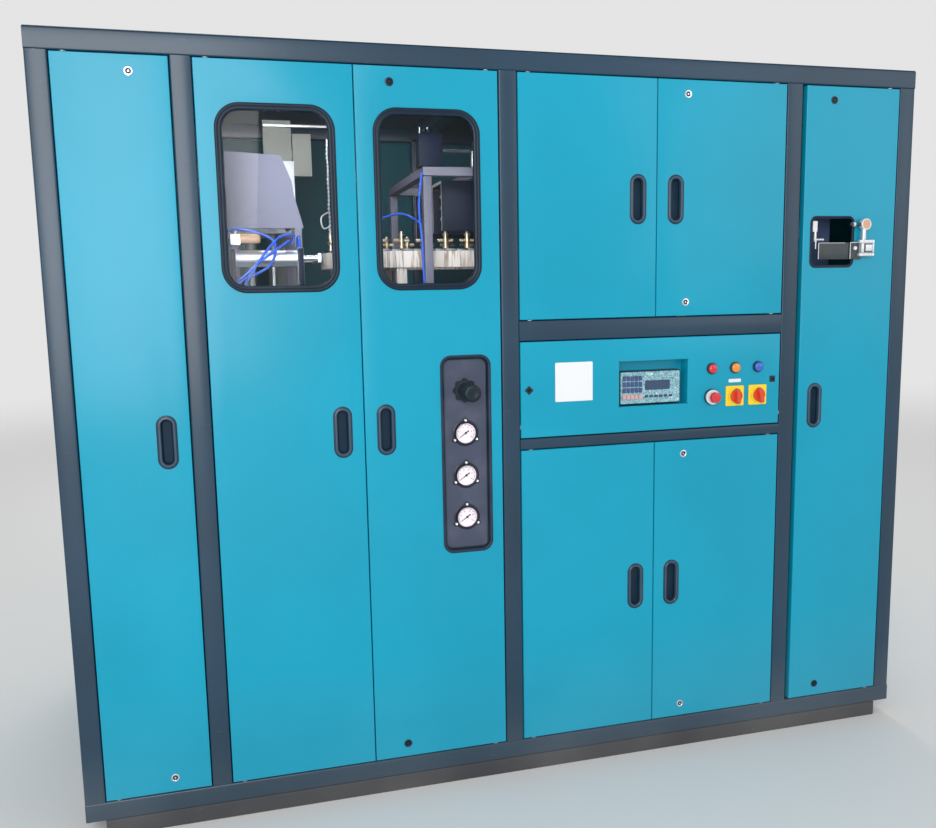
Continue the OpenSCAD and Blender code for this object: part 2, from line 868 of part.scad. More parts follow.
// Place children at every carrier, turned along the run
module at_carriers() {
  for (i = [0:straight_links]) {
    translate([wheel_x + i * pitch - frame_w / 2, run_y - frame_d / 2, 0]) children();
    translate([wheel_x + i * pitch - frame_w / 2, wheel_y + wheel_r - frame_d / 2, 0]) children();
  }
  for (i = [1:wrap_links - 1])
    for (end = [[wheel_x, 90], [wheel_x2, -90]])
      translate([end[0] - frame_w / 2, wheel_y - frame_d / 2, 0])
        rotate(end[1] + i * 180 / wrap_links) translate([wheel_r, 0, 0]) rotate(90) children();
}

// Four chain sections, jointed half a pitch inside each end of the straight runs, and mandrels
module carrier_chain() color(brass) {
  joint = pitch / 2;
  end_rings(chain_w, chain_z, chain_t);
  run_bars(wheel_x, wheel_x + joint - weld_gap, chain_w, chain_z, chain_t);
  run_bars(wheel_x + joint, wheel_x2 - joint, chain_w, chain_z, chain_t);
  run_bars(wheel_x2 - joint + weld_gap, wheel_x2, chain_w, chain_z, chain_t);
  at_carriers() {
    translate([0, 0, mandrel_z + weld_gap]) cylinder(h = mandrel_h - weld_gap, d = mandrel_d);
    translate([-arm_l / 2, 0, mandrel_z + mandrel_h / 2]) rotate([0, 90, 0])
      cylinder(h = arm_l, d = arm_d);
  }
}

// Twelve-notch wheel inside the chain, shrunk on its shaft
module chain_wheel(x, shaft_z)
  translate([x - frame_w / 2, wheel_y - frame_d / 2, 0]) {
    translate([0, 0, chain_z]) linear_extrude(chain_t)
      difference() {
        circle(wheel_rim_r, $fn = 96);
        for (i = [0:2 * wrap_links - 1])
          rotate(i * 180 / wrap_links) translate([wheel_rim_r, 0]) circle(wheel_notch_r);
        circle(d = shaft_d + 2 * weld_gap);
      }
    translate([0, 0, shaft_z]) cylinder(h = mandrel_z + nut_t - shaft_z, d = shaft_d);
  }

module chain_wheels() color(steel) {
  chain_wheel(wheel_x, table_under - bearing_w);
  chain_wheel(wheel_x2, table_under);
  difference() {
    rod_z(wheel_x, wheel_y, table_z, table_z + bearing_h, shaft_d + 2 * bearing_w);
    rod_z(wheel_x, wheel_y, table_z - 1, table_z + bearing_h + 1, shaft_d + 2 * fit);
  }
}

module drive_motor() color([0.30, 0.36, 0.46]) {
  x = wheel_x2;
  y = wheel_y;
  h = gearbox_w / 2;
  block(x - h, x + h, y - h, y + h, motor_z1, table_under);
  rod_z(x, y, motor_z1 - motor_l, motor_z1 + 1, motor_d);
  for (i = [0:7]) {
    z = motor_z1 - motor_l + (i + 1) * fin_pitch;
    rod_z(x, y, z, z + fin_h, motor_d + 2 * fin_h);
  }
}

module oven_hood(y)
  difference() {
    block(hood_x0, hood_x0 + hood_l, y - hood_w / 2, y + hood_w / 2, hood_z1 - hood_h, hood_z1);
    block(hood_x0 - 1, hood_x0 + hood_l + 1, y - hood_w / 2 + hood_wall,
      y + hood_w / 2 - hood_wall, hood_z1 - hood_h - 1, hood_z1 - hood_wall);
  }

module oven_stand() {
  s = stand_tube;
  g = weld_gap;
  for (x = [stand_x0, stand_x1])
    for (y = [stand_y0, stand_y1 - s])
      block(x, x + s, y, y + s, table_z, stand_top - s - g);
  for (y = [stand_y0, stand_y1 - s])
    block(stand_x0, stand_x1 + s, y, y + s, stand_top - s, stand_top);
  for (x = [stand_x0, hood_x0 + hood_tie_in, hood_x0 + hood_l - hood_tie_in, stand_x1])
    block(x, x + s, stand_y0 + s + g, stand_y1 - s - g, stand_top - s, stand_top);
}

module oven_hoods() {
  color([0.06, 0.06, 0.07])
    for (y = [run_y, wheel_y + wheel_r])
      oven_hood(y);
  color([0.45, 0.43, 0.47]) oven_stand();
  color([0.95, 0.92, 0.85])
    for (y = [run_y, wheel_y + wheel_r])
      for (side = [-1, 1])
        for (i = [0:2])
          rod_x(hood_x0 + lamp_in, hood_x0 + hood_l - lamp_in, y + side * lamp_off,
            hood_z1 - lamp_drop - i * lamp_pitch, lamp_tube_d);
}

// One device on the back plate, from x0 to x1 and z0 to z1, standing d in front of it
module device(x0, x1, z0, z1, d)
  block(x0, x1, gear_y - d, gear_y - seat_gap, z0, z1);

// Back plate on two uprights, with rows of breakers, contactors and drives
module electrical_gear() {
  u = gear_unit;
  color([0.72, 0.73, 0.74]) {
    block(gear_x0, gear_x1, gear_y, gear_y + gear_plate_t, gear_z0, gear_z1);
    for (x = [gear_x0 + gear_post_w, gear_x1 - 2 * gear_post_w])
      block(x, x + gear_post_w, gear_y + gear_plate_t + weld_gap,
        gear_y + gear_plate_t + gear_post_w, bottom_z + sheet, gear_z1);
  }
  color([0.85, 0.86, 0.86])
    for (i = [0:11])
      device(gear_left + i * u, gear_left + (i + 1) * u - seat_gap, breaker_z,
        breaker_z + breaker_h, breaker_d);
  color([0.20, 0.21, 0.22])
    for (i = [0:7])
      device(gear_left + i * 1.5 * u, gear_left + (i + 1) * 1.5 * u - seat_gap, contactor_z,
        contactor_z + contactor_h, contactor_d);
  color([0.30, 0.42, 0.55]) {
    device(gear_x0 + 15.5 * u, gear_x0 + 20 * u, contactor_z, breaker_z + breaker_h, controller_d);
    device(gear_left, gear_left + 6.6 * u, drive_z, drive_z + drive_h, drive_d);
    device(gear_x0 + 10 * u, gear_x0 + 19.5 * u, drive_z, drive_z + drive_h, supply_d);
  }
  color([0.75, 0.73, 0.68]) {
    x = duct_x1 + junction_gap;
    block(duct_x0, duct_x1, duct_y, duct_y + duct_d, table_z, top_z - 10);
    block(x, x + junction_w, duct_y, duct_y + junction_d, junction_z1 - junction_h, junction_z1);
    block(duct_x1 + weld_gap, x - weld_gap, duct_y + 10, duct_y + 30,
      junction_z1 - junction_h / 2 - 15, junction_z1 - junction_h / 2 + 15);
  }
  color(chrome)
    block(duct_x0, duct_x1 + rail_over, duct_y - 14, duct_y - seat_gap, rail_z, rail_z + rail_t);
}

module receiver_shape(d)
  translate([receiver_x - frame_w / 2, receiver_y - frame_d / 2, receiver_z0]) {
    cylinder(h = receiver_z1 - receiver_z0, d = d);
    sphere(d = d);
    translate([0, 0, receiver_z1 - receiver_z0]) sphere(d = d);
  }

// Valve block on the oven stand, with its silencers and a rod held by a post
module valve_block() {
  x = stand_x0 - 8;
  x1 = x + valve_w;
  y = stand_y0 - 4;
  rod_y0 = y + 16;
  rod_z0 = stand_top + valve_h / 2;
  block(x, x1, y, y + valve_d, stand_top, stand_top + valve_h);
  for (dx = [-valve_w / 3, 0])
    rod_z(x + valve_w / 2 + dx, y + valve_d / 2, stand_top + valve_h - 1,
      stand_top + valve_h + silencer_h, silencer_d);
  rod_x(x1 - 1, x1 + valve_rod_l, rod_y0, rod_z0, valve_rod_d);
  rod_z(x1 + valve_rod_l - 2 * valve_post_d, rod_y0, stand_top, rod_z0, valve_post_d);
}

// Air receiver on three legs, and the service unit bracketed to its post
module air_supply() {
  color([0.28, 0.40, 0.50]) {
    difference() {
      receiver_shape(receiver_d);
      receiver_shape(receiver_d - 2 * receiver_wall);
      rod_z(receiver_x, receiver_y, receiver_z1, receiver_z1 + receiver_d, receiver_bung_d);
    }
    for (a = [90, 210, 330])
      translate([receiver_x - frame_w / 2, receiver_y - frame_d / 2, bottom_z + sheet])
        rotate(a) translate([receiver_d / 2 + weld_gap, -receiver_leg_w / 2, 0])
          cube([receiver_leg_t, receiver_leg_w, receiver_z0 - bottom_z + 60]);
  }
  color([0.18, 0.22, 0.34]) {
    x = post_x[3] + tube;
    y = unit_y + 24;
    z0 = service_z - 26;
    z1 = z0 + shelf_h;
    block(unit_x, unit_x + unit_w, unit_y, unit_y + unit_d, z0 - 60, z0 - 60 + unit_h);
    block(x, unit_x + 1, y, y + shelf_w, z0, z1);
    block(x, x + shelf_t, tube / 2, y + shelf_w, z0, z1);
    block(unit_x + 14, unit_x + 36, unit_y - 12, unit_y + 1, z1, z1 + 38);
    valve_block();
    rod_y(unit_x + 28, unit_y - 20, unit_y + 1, service_z + 8, 16);
  }
}

// Half loop of nylon pipe from a port at (x, y) up, back and down to the table
module pipe_loop(x, y, z) {
  translate([x - frame_w / 2, y + loop_r - frame_d / 2, z]) rotate([90, 0, 90])
    rotate_extrude(angle = 180) translate([loop_r, 0]) circle(d = loop_pipe_d);
  rod_z(x, y + 2 * loop_r, table_z, z, loop_pipe_d);
}

module air_pipes() color([0.10, 0.28, 0.75]) {
  z = transfer_z + transfer_cap / 2;
  y = stand_y0 + drop_pipe_in;
  for (x = [transfer_x0 + transfer_cap_t / 2, transfer_x1 - transfer_cap_t / 2])
    pipe_loop(x, transfer_y, z);
  for (dy = [0, drop_pipe_pitch])
    rod_z(stand_x0 + stand_tube / 2, y + dy, table_z, stand_top - stand_tube, drop_pipe_d);
}

// Folded door tray with pivot holes; hinge is 1 at its right edge, -1 at its left
module door_tray(x0, x1, z0, z1, hinge) {
  hx = hinge > 0 ? x1 - hinge_in : x0 + hinge_in;
  fold = sheet + weld_gap;
  block(x0, x1, 0, sheet, z0, z1);
  for (x = [x0, x1 - sheet])
    block(x, x + sheet, fold, door_t, z0 + fold, z1 - fold);
  difference() {
    for (z = [z0, z1 - sheet])
      block(x0, x1, fold, door_t, z, z + sheet);
    for (z = [z0, z1])
      rod_z(hx, hinge_y, z - sheet - 1, z + sheet + 1, hinge_pin_d + 2 * fit);
  }
}

module pull_body(x, z) {
  slab(x, z, -pull_proud, sheet) stadium(pull_w, pull_h);
  inset = 2 * (pull_rim - pull_wall);
  slab(x, z, 0, pull_back) stadium(pull_w - inset, pull_h - inset);
}

module pull_hollow(x, z)
  slab(x, z, -pull_proud - 1, pull_depth) stadium(pull_w - 2 * pull_rim, pull_h - 2 * pull_rim);

module lock_hole(x, z) rod_y(x, -1, sheet + 1, z, lock_barrel_d + 2 * fit);

// Door with a pull and, where locks is true, two lock holes near the free edge
module door(x0, x1, z0, z1, hinge, locks) {
  free = hinge > 0 ? x0 : x1;
  px = free + hinge * pull_in;
  lx = free + hinge * lock_in;
  mid = (z0 + z1) / 2;
  difference() {
    union() {
      color(door_teal) door_tray(x0, x1, z0, z1, hinge);
      color(rubber_black) pull_body(px, mid);
    }
    pull_hollow(px, mid);
    if (locks)
      for (z = [z0 + lock_drop, z1 - lock_drop])
        lock_hole(lx, z);
  }
}

module window_cut(x, w)
  slab(x, window_z, -1, sheet + 1)
    round_rect(w - 2 * gasket_lap, window_h - 2 * gasket_lap, window_r - gasket_lap);

module left_door() door(left_x0, left_x1, door_z0, door_z1, -1, true);

module mould_door()
  difference() {
    door(mould_x0, mould_x1, door_z0, door_z1, -1, false);
    window_cut(mould_window_x, mould_window_w);
  }

module gauge_door()
  difference() {
    door(gauge_x0, gauge_x1, door_z0, door_z1, 1, true);
    window_cut(gauge_window_x, gauge_window_w);
    slab(tray_x, tray_z, -1, sheet + 1)
      round_rect(tray_w - 2 * tray_lip, tray_h - 2 * tray_lip, tray_r - tray_lip);
  }

module upper_left_door()
  door(centre_x0, centre_mid - door_gap / 2, upper_z0, door_z1, -1, false);

module upper_right_door()
  door(centre_mid + door_gap / 2, centre_x1, upper_z0, door_z1, 1, true);

module lower_left_door()
  door(centre_x0, centre_mid - door_gap / 2, door_z0, lower_z1, -1, false);

module lower_right_door()
  door(centre_mid + door_gap / 2, centre_x1, door_z0, lower_z1, 1, true);

module service_shape(size, r, y0, y1)
  slab(service_mid_x, service_z, y0, y1) round_rect(size, size, r);

module right_door() {
  difference() {
    door(right_x0, right_x1, door_z0, door_z1, 1, true);
    service_shape(service_hole, service_hole_r, -1, sheet + 1);
  }
  color(rubber_black) difference() {
    union() {
      service_shape(service_size, service_r, -edging_t, -weld_gap);
      service_shape(service_hole - 2 * weld_gap, service_hole_r - weld_gap, -edging_t, edging_back);
    }
    service_shape(service_inner, service_hole_r, -edging_t - 1, edging_back + 1);
  }
}

// Sprung rubber gasket: a lip over the sheet and a grooved ring through the cut
module gasket(x, w) color(rubber_black)
  difference() {
    union() {
      slab(x, window_z, -gasket_proud, 0) round_rect(w, window_h, window_r);
      slab(x, window_z, -1, gasket_back)
        round_rect(w - 2 * gasket_lap - 0.4, window_h - 2 * gasket_lap - 0.4, window_r - gasket_lap);
    }
    slab(x, window_z, -gasket_proud - 1, gasket_back + 1)
      round_rect(w - 2 * gasket_w, window_h - 2 * gasket_w, window_r - gasket_w);
    slab(x, window_z, pane_y, pane_y + pane_t)
      round_rect(w - 2 * (gasket_w - pane_bite), window_h - 2 * (gasket_w - pane_bite),
        window_r - gasket_w + pane_bite);
  }

module pane(x, w) color([0.75, 0.85, 0.90, 0.3])
  slab(x, window_z, pane_y + 0.1, pane_y + pane_t - 0.1)
    round_rect(w - 2 * (gasket_w - pane_bite) - 0.4, window_h - 2 * (gasket_w - pane_bite) - 0.4,
      window_r - gasket_w + pane_bite);

module mould_gasket() gasket(mould_window_x, mould_window_w);
module gauge_gasket() gasket(gauge_window_x, gauge_window_w);
module mould_pane() pane(mould_window_x, mould_window_w);
module gauge_pane() pane(gauge_window_x, gauge_window_w);

module gauge_tray() color(tray_grey)
  difference() {
    union() {
      slab(tray_x, tray_z, -tray_proud, 0) round_rect(tray_w, tray_h, tray_r);
      slab(tray_x, tray_z, -0.5, tray_depth + tray_wall)
        round_rect(tray_w - 2 * tray_lip - 0.6, tray_h - 2 * tray_lip - 0.6, tray_r - tray_lip);
    }
    slab(tray_x, tray_z, -tray_proud - 1, tray_depth)
      round_rect(tray_w - 2 * tray_lip - 2 * tray_wall, tray_h - 2 * tray_lip - 2 * tray_wall,
        tray_r - tray_lip - tray_wall);
    for (z = gauge_z)
      rod_y(tray_x, tray_depth - 1, tray_depth + tray_wall + 1, z, case_d + 0.6);
    rod_y(tray_x, tray_depth - 1, tray_depth + tray_wall + 1, knob_z, regulator_d + 0.6);
  }

// Gauge case with its three-eared flange, and the regulator body behind its nut
module gauge_cases() color(rubber_black) {
  for (z = gauge_z)
    difference() {
      union() {
        rod_y(tray_x, bezel_y, tray_depth - seat_gap, z, bezel_d);
        rod_y(tray_x, tray_depth - seat_gap - 1, case_back, z, case_d);
        for (a = [90, 210, 330]) {
          ex = tray_x + gauge_screw_r * cos(a);
          ez = z + gauge_screw_r * sin(a);
          rod_y(ex, dial_y - seat_gap, tray_depth - seat_gap, ez, 14);
          rod_y(ex, dial_y - 3, tray_depth - seat_gap, ez, 8);
        }
      }
      rod_y(tray_x, bezel_y - 1, dial_y, z, dial_d);
      rod_y(tray_x, dial_y - 1, dial_y + 8, z, needle_pin_d + 2 * fit);
    }
  difference() {
    union() {
      rod_y(tray_x, tray_depth - knob_nut_t, tray_depth - seat_gap, knob_z, knob_nut_d - 6);
      for (i = [0:7])
        rod_y(tray_x + (knob_nut_d / 2 - 6) * cos(i * 45), tray_depth - knob_nut_t,
          tray_depth - seat_gap, knob_z + (knob_nut_d / 2 - 6) * sin(i * 45), 12);
      rod_y(tray_x, tray_depth - seat_gap - 1, regulator_back, knob_z, regulator_d);
    }
    rod_y(tray_x, tray_depth - knob_nut_t - 1, tray_depth + 20, knob_z, spindle_d + 2 * fit);
  }
}

module gauge_needle(z) color([0.08, 0.08, 0.08]) {
  y = dial_y - needle_lift;
  rod_y(tray_x, y - needle_t, dial_y + 7, z, needle_pin_d);
  rod_y(tray_x, y - needle_t - 0.6, y, z, 7);
  translate([tray_x - frame_w / 2, y - frame_d / 2, z]) rotate([90, 145, 0])
    linear_extrude(needle_t) polygon([[-10, -2], [-10, 2], [0, 1.2], [dial_d / 2 - 6, 0.4],
      [dial_d / 2 - 6, -0.4], [0, -1.2]]);
}

module gauge_needle_1() gauge_needle(gauge_z[0]);
module gauge_needle_2() gauge_needle(gauge_z[1]);
module gauge_needle_3() gauge_needle(gauge_z[2]);

module regulator_knob() color([0.10, 0.11, 0.12]) {
  rod_y(tray_x, -knob_reach, knob_root_y - 2 - seat_gap, knob_z, knob_d);
  rod_y(tray_x, knob_root_y - 3, tray_depth + 18, knob_z, spindle_d);
  for (i = [0:23])
    rod_y(tray_x + (knob_d / 2 - 0.6) * cos(i * 15), -knob_reach + 14, -knob_reach + 44,
      knob_z + (knob_d / 2 - 0.6) * sin(i * 15), 2.4);
}

module control_panel() color(door_teal) {
  rx = recess_x;
  rz = panel_z0 + recess_z;
  hz = panel_z0 + hinge_in;
  mid = (panel_z0 + panel_z1) / 2;
  difference() {
    union() {
      difference() {
        block(centre_x0, centre_x1, 0, door_t, panel_z0, panel_z1);
        block(centre_x0 + sheet, centre_x1 - sheet, sheet, door_t + 1,
          panel_z0 + sheet, panel_z1 - sheet);
      }
      block(rx - recess_w / 2 - sheet, rx + recess_w / 2 + sheet, 0, recess_back,
        rz - recess_h / 2 - sheet, rz + recess_h / 2 + sheet);
    }
    block(rx - recess_w / 2, rx + recess_w / 2, -1, recess_depth,
      rz - recess_h / 2, rz + recess_h / 2);
    for (x = [centre_x0, centre_x1])
      rod_x(x - sheet - 1, x + sheet + 1, hinge_y, hz, hinge_pin_d + 2 * fit);
    for (x = [centre_x0 + panel_lock_in, centre_x1 - panel_lock_in])
      lock_hole(x, mid);
    for (x = lamp_x) {
      rod_y(x, -1, sheet + 1, panel_z0 + lamp_z, 22.4);
      rod_y(x, -1, sheet + 1, switch_row_z, 22.4);
    }
  }
}

module terminal() color([0.78, 0.82, 0.80]) {
  x = recess_x + terminal_shift;
  z = panel_z0 + recess_z - (recess_h - terminal_h) / 2 + 3;
  y0 = recess_depth - terminal_t - seat_gap;
  difference() {
    slab(x, z, y0, recess_depth - seat_gap) round_rect(terminal_w, terminal_h, 5);
    slab(x + 22, z + 8, y0 - 1, y0 + 1.5) square([92, 38], center = true);
  }
  for (c = [0:4])
    for (r = [0:3])
      slab(x - terminal_w / 2 + 16 + c * 11.5, z + 27 - r * 18, y0 - 1.2, y0 + 0.5)
        round_rect(9, 13, 1.5);
}

// Lamp: lens on a bezel, threaded body through the sheet and a lamp block behind
module pilot_lamp(x) {
  z = panel_z0 + lamp_z;
  rod_y(x, -3, -seat_gap, z, lamp_d + 2);
  rod_y(x, -13, -2, z, lamp_d);
  rod_y(x, -1, 30, z, 22);
  block(x - 15, x + 15, 29, 54, z - 15, z + 15);
}

module pilot_lamps() {
  color("crimson") pilot_lamp(lamp_x[0]);
  color("orange") pilot_lamp(lamp_x[1]);
  color("royalblue") pilot_lamp(lamp_x[2]);
}

// Isolator: square plate, round hub and switch block, bored for its handle spindle
module isolator(x)
  difference() {
    union() {
      slab(x, switch_row_z, -isolator_plate_t - seat_gap, -seat_gap)
        round_rect(isolator_size, isolator_size, 3);
      rod_y(x, -isolator_plate_t - seat_gap - isolator_hub_t, -1, switch_row_z, isolator_hub_d);
      rod_y(x, -1, 20, switch_row_z, 22);
      block(x - 24, x + 24, 19, switch_back, switch_row_z - 24, switch_row_z + 24);
    }
    rod_y(x, -30, 30, switch_row_z, 8 + 2 * fit);
  }

module switch_bodies() {
  x = lamp_x[0];
  color("gold")
    for (i = [1, 2])
      isolator(lamp_x[i]);
  color([0.92, 0.92, 0.90])
    difference() {
      union() {
        rod_y(x, -stop_ring_t, -seat_gap, switch_row_z, stop_ring_d);
        rod_y(x, -stop_ring_t / 2, -seat_gap, switch_row_z, stop_ring_d + 4);
        rod_y(x, -1, 30, switch_row_z, 22);
        block(x - 15, x + 15, 29, switch_back, switch_row_z - 22, switch_row_z + 22);
      }
      rod_y(x, -stop_ring_t - 1, 25, switch_row_z, stop_stem_d + 2 * fit);
    }
  color([0.90, 0.90, 0.88])
    slab(lamp_x[1], switch_row_z + isolator_size / 2 + 15, -1 - seat_gap, -seat_gap)
      square([44, 12], center = true);
}

module stop_button() color("crimson") {
  y = -stop_ring_t - stop_travel - 1;
  rod_y(lamp_x[0], y - stop_head_t, y, switch_row_z, stop_d);
  rod_y(lamp_x[0], y - 1, 15, switch_row_z, stop_stem_d);
}

module isolator_handle(x) color("orangered") {
  y = -isolator_plate_t - seat_gap - isolator_hub_t - seat_gap;
  rod_y(x, y - 5, y, switch_row_z, isolator_hub_d - 6);
  slab(x, switch_row_z, y - handle_t, y - 4) stadium(handle_w, isolator_hub_d + 4);
  rod_y(x, y - 1, 25, switch_row_z, 8);
}

module main_switch_handle() isolator_handle(lamp_x[1]);
module heater_switch_handle() isolator_handle(lamp_x[2]);

module name_plate() color([0.93, 0.93, 0.91])
  slab(centre_x0 + plate_x, panel_z0 + plate_z, -plate_t - seat_gap, -seat_gap)
    round_rect(plate_w, plate_h, 2);

// Air shut-off valve on its bracket, which reaches out of the service opening
module air_valve() {
  x = service_mid_x;
  z = service_z - 19;
  y = -edging_t - seat_gap;
  color([0.16, 0.18, 0.20]) {
    block(x - 50, x + 57, y - 4, y, service_z - 51, service_z - 2);
    block(x + 56, x + 95, y - 7, y, service_z - 51, service_z - 1);
    rod_y(x + 72, y - 11, y - 6, z, 12);
    rod_x(x + 48, x + 92, y - 12, service_z + 50, 10);
  }
  color(chrome) {
    block(x + 85, x + 129, y - 22, y - 6, z - 15, z + 15);
    for (dz = [-19, 19])
      block(x + 81, x + 133, y - 17, y - 6, z + dz - 5, z + dz + 5);
    rod_z(x + 97, y - 12, z + 23, service_z + 40, 14);
    rod_y(x + 101, y - 20, y - 4, service_z + 50, 34);
  }
}

// Quarter-turn lock at rest, its cam pointing along (dx, dz) clear of the keeper
module lock(x, z, dx, dz, reach) color(chrome) {
  rod_y(x, -lock_face_t - 0.2, -0.2, z, lock_face_d);
  rod_y(x, -1, cam_y + cam_t, z, lock_barrel_d);
  slab(x, z, cam_y, cam_y + cam_t)
    rotate(atan2(dz, dx)) translate([0, -cam_w / 2]) square([reach, cam_w]);
}

module side_lock(x, z, dx) lock(x, z, dx, 0, cam_len);

module left_door_top_lock() side_lock(left_x1 - lock_in, door_z1 - lock_drop, -1);
module left_door_low_lock() side_lock(left_x1 - lock_in, door_z0 + lock_drop, -1);
module gauge_door_top_lock() side_lock(gauge_x0 + lock_in, door_z1 - lock_drop, 1);
module gauge_door_low_lock() side_lock(gauge_x0 + lock_in, door_z0 + lock_drop, 1);
module upper_door_top_lock()
  side_lock(centre_mid + door_gap / 2 + lock_in, door_z1 - lock_drop, 1);
module upper_door_low_lock()
  side_lock(centre_mid + door_gap / 2 + lock_in, upper_z0 + lock_drop, 1);
module lower_door_top_lock()
  side_lock(centre_mid + door_gap / 2 + lock_in, lower_z1 - lock_drop, 1);
module lower_door_low_lock()
  side_lock(centre_mid + door_gap / 2 + lock_in, door_z0 + lock_drop, 1);
module right_door_top_lock() side_lock(right_x0 + lock_in, door_z1 - lock_drop, 1);
module right_door_low_lock() side_lock(right_x0 + lock_in, door_z0 + lock_drop, 1);
module panel_left_lock()
  lock(centre_x0 + panel_lock_in, (panel_z0 + panel_z1) / 2, 0, -1, panel_cam_len);
module panel_right_lock()
  lock(centre_x1 - panel_lock_in, (panel_z0 + panel_z1) / 2, 0, -1, panel_cam_len);

// Mould half with its platen and ram, built for the front and mirrored for the rear
module clamp_half() {
  z = mould_z + mould_h / 2;
  y1 = mould_face_y;
  color(steel) {
    difference() {
      union() {
        block(platen_x, platen_x + platen_w, platen_y, platen_y + platen_t, platen_z0, platen_z1);
        rod_y(mould_x, ram_y, platen_y + 1, z, ram_d);
      }
      for (bar = tie_bars)
        rod_y(bar[0], platen_y - 1, platen_y + platen_t + 1, bar[1], tie_bar_d + 0.4);
    }
    difference() {
      block(mould_x - mould_w / 2, mould_x + mould_w / 2, y1 - mould_t, y1,
        mould_z, mould_z + mould_h);
      for (x = cavity_x) {
        rod_z(x, y1 + mould_gap / 2, cavity_z0, cavity_z1, cavity_d);
        rod_z(x, y1 + mould_gap / 2, mould_z - 1, cavity_z0 + 1, neck_d);
      }
    }
  }
}

module front_clamp() clamp_half();

module rear_clamp()
  translate([0, 2 * parting_y - frame_d, 0]) mirror([0, 1, 0]) clamp_half();

// Plate across both guide columns, from height z up
module slide_plate(z, t)
  block(column_x[0] - column_edge, column_x[1] + column_edge, parting_y - slide_plate_w / 2,
    parting_y + slide_plate_w / 2, z, z + t);

// Two hollow nozzles on a plate that slides on the guide columns
module blow_nozzles() color(chrome)
  difference() {
    union() {
      slide_plate(nozzle_plate_z, nozzle_plate_t);
      for (x = cavity_x)
        rod_z(x, parting_y, nozzle_plate_z + 1, nozzle_top, nozzle_d);
    }
    for (x = cavity_x)
      rod_z(x, parting_y, nozzle_plate_z - 1, nozzle_top + 1, stretch_rod_d + 2 * fit);
    for (x = column_x)
      rod_z(x, parting_y, nozzle_plate_z - 1, nozzle_plate_z + nozzle_plate_t + 1,
        column_d + 2 * fit);
  }

// Stretch rods on a crosshead, driven by the piston rod below it
module stretch_rods() color(chrome)
  difference() {
    union() {
      slide_plate(crosshead_z, crosshead_t);
      for (x = cavity_x)
        rod_z(x, parting_y, crosshead_z + 1, stretch_top, stretch_rod_d);
      rod_z(mould_x, parting_y, station_floor_z + 12, crosshead_z + 1, piston_rod_d);
    }
    for (x = column_x)
      rod_z(x, parting_y, crosshead_z - 1, crosshead_z + crosshead_t + 1, column_d + 2 * fit);
  }

// Piston, rod and gripper arm that move preforms from the chain to the mould
module transfer_rod() color(chrome) {
  x = rod_end_x;
  rod_x(piston_x, piston_x + piston_t, transfer_y, transfer_z, transfer_bore - 2 * fit);
  rod_x(piston_x + 1, x + 1, transfer_y, transfer_z, piston_rod_d);
  block(x, x + rod_end_t, transfer_y - 18, transfer_y + arm_reach, transfer_z - 12,
    transfer_z + 12);
  for (y = [transfer_y + arm_reach - 25, transfer_y + arm_reach - 10])
    block(x - 28, x + 1, y, y + 10, transfer_z - 6, transfer_z + 6);
}

plinth();
main_frame();
roof_panel();
lift_off_panels();
base_tray();
machine_table();
clamp_frame();
air_cylinders();
carrier_track();
carrier_chain();
chain_wheels();
drive_motor();
oven_hoods();
electrical_gear();
air_supply();
air_pipes();
left_door();
mould_door();
gauge_door();
upper_left_door();
upper_right_door();
lower_left_door();
lower_right_door();
right_door();
control_panel();
left_door_top_lock();
left_door_low_lock();
gauge_door_top_lock();
gauge_door_low_lock();
upper_door_top_lock();
upper_door_low_lock();
lower_door_top_lock();
lower_door_low_lock();
right_door_top_lock();
right_door_low_lock();
panel_left_lock();
panel_right_lock();
front_clamp();
rear_clamp();
blow_nozzles();
stretch_rods();
transfer_rod();
gauge_needle_1();
gauge_needle_2();
gauge_needle_3();
regulator_knob();
stop_button();
main_switch_handle();
heater_switch_handle();
mould_gasket();
gauge_gasket();
mould_pane();
gauge_pane();
gauge_tray();
gauge_cases();
terminal();
pilot_lamps();
switch_bodies();
name_plate();
air_valve();
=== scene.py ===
import math

import bmesh
import bpy
from mathutils import Matrix, Quaternion, Vector


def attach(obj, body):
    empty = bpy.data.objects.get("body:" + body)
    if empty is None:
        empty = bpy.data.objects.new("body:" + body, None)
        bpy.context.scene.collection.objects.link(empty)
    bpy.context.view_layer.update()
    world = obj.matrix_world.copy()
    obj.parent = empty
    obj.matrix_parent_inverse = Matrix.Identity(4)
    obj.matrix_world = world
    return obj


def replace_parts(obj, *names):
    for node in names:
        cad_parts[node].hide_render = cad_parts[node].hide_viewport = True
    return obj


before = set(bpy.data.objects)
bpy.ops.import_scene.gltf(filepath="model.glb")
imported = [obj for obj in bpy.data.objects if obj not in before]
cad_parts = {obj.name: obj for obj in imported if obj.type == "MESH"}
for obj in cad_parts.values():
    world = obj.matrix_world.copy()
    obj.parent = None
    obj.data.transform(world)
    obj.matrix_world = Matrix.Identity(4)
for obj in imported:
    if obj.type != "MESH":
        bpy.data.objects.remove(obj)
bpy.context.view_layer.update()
print("frame loaded with", len(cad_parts), "nodes")

cabinet = {
    "width": 2420,
    "depth": 1200,
    "tube": 50,
    "tubeRadius": 4,
    "posts": [0, 316.5, 1131.5, 1992, 2370],
    "sillZ": 45,
    "topZ": 1950,
    "tableZ": 1382,
    "tableThickness": 12,
    "rails": [("lowRail", 944, 30), ("highRail", 1244, 55)],
    "weldGap": 0.2,
    "plinth": {"inset": 48, "width": 60, "height": 45},
}


def at(x, y, z):
    # millimetres from the left end, the front face and the floor
    return Vector(((x - cabinet["width"] / 2) / 1000, (y - cabinet["depth"] / 2) / 1000, z / 1000))


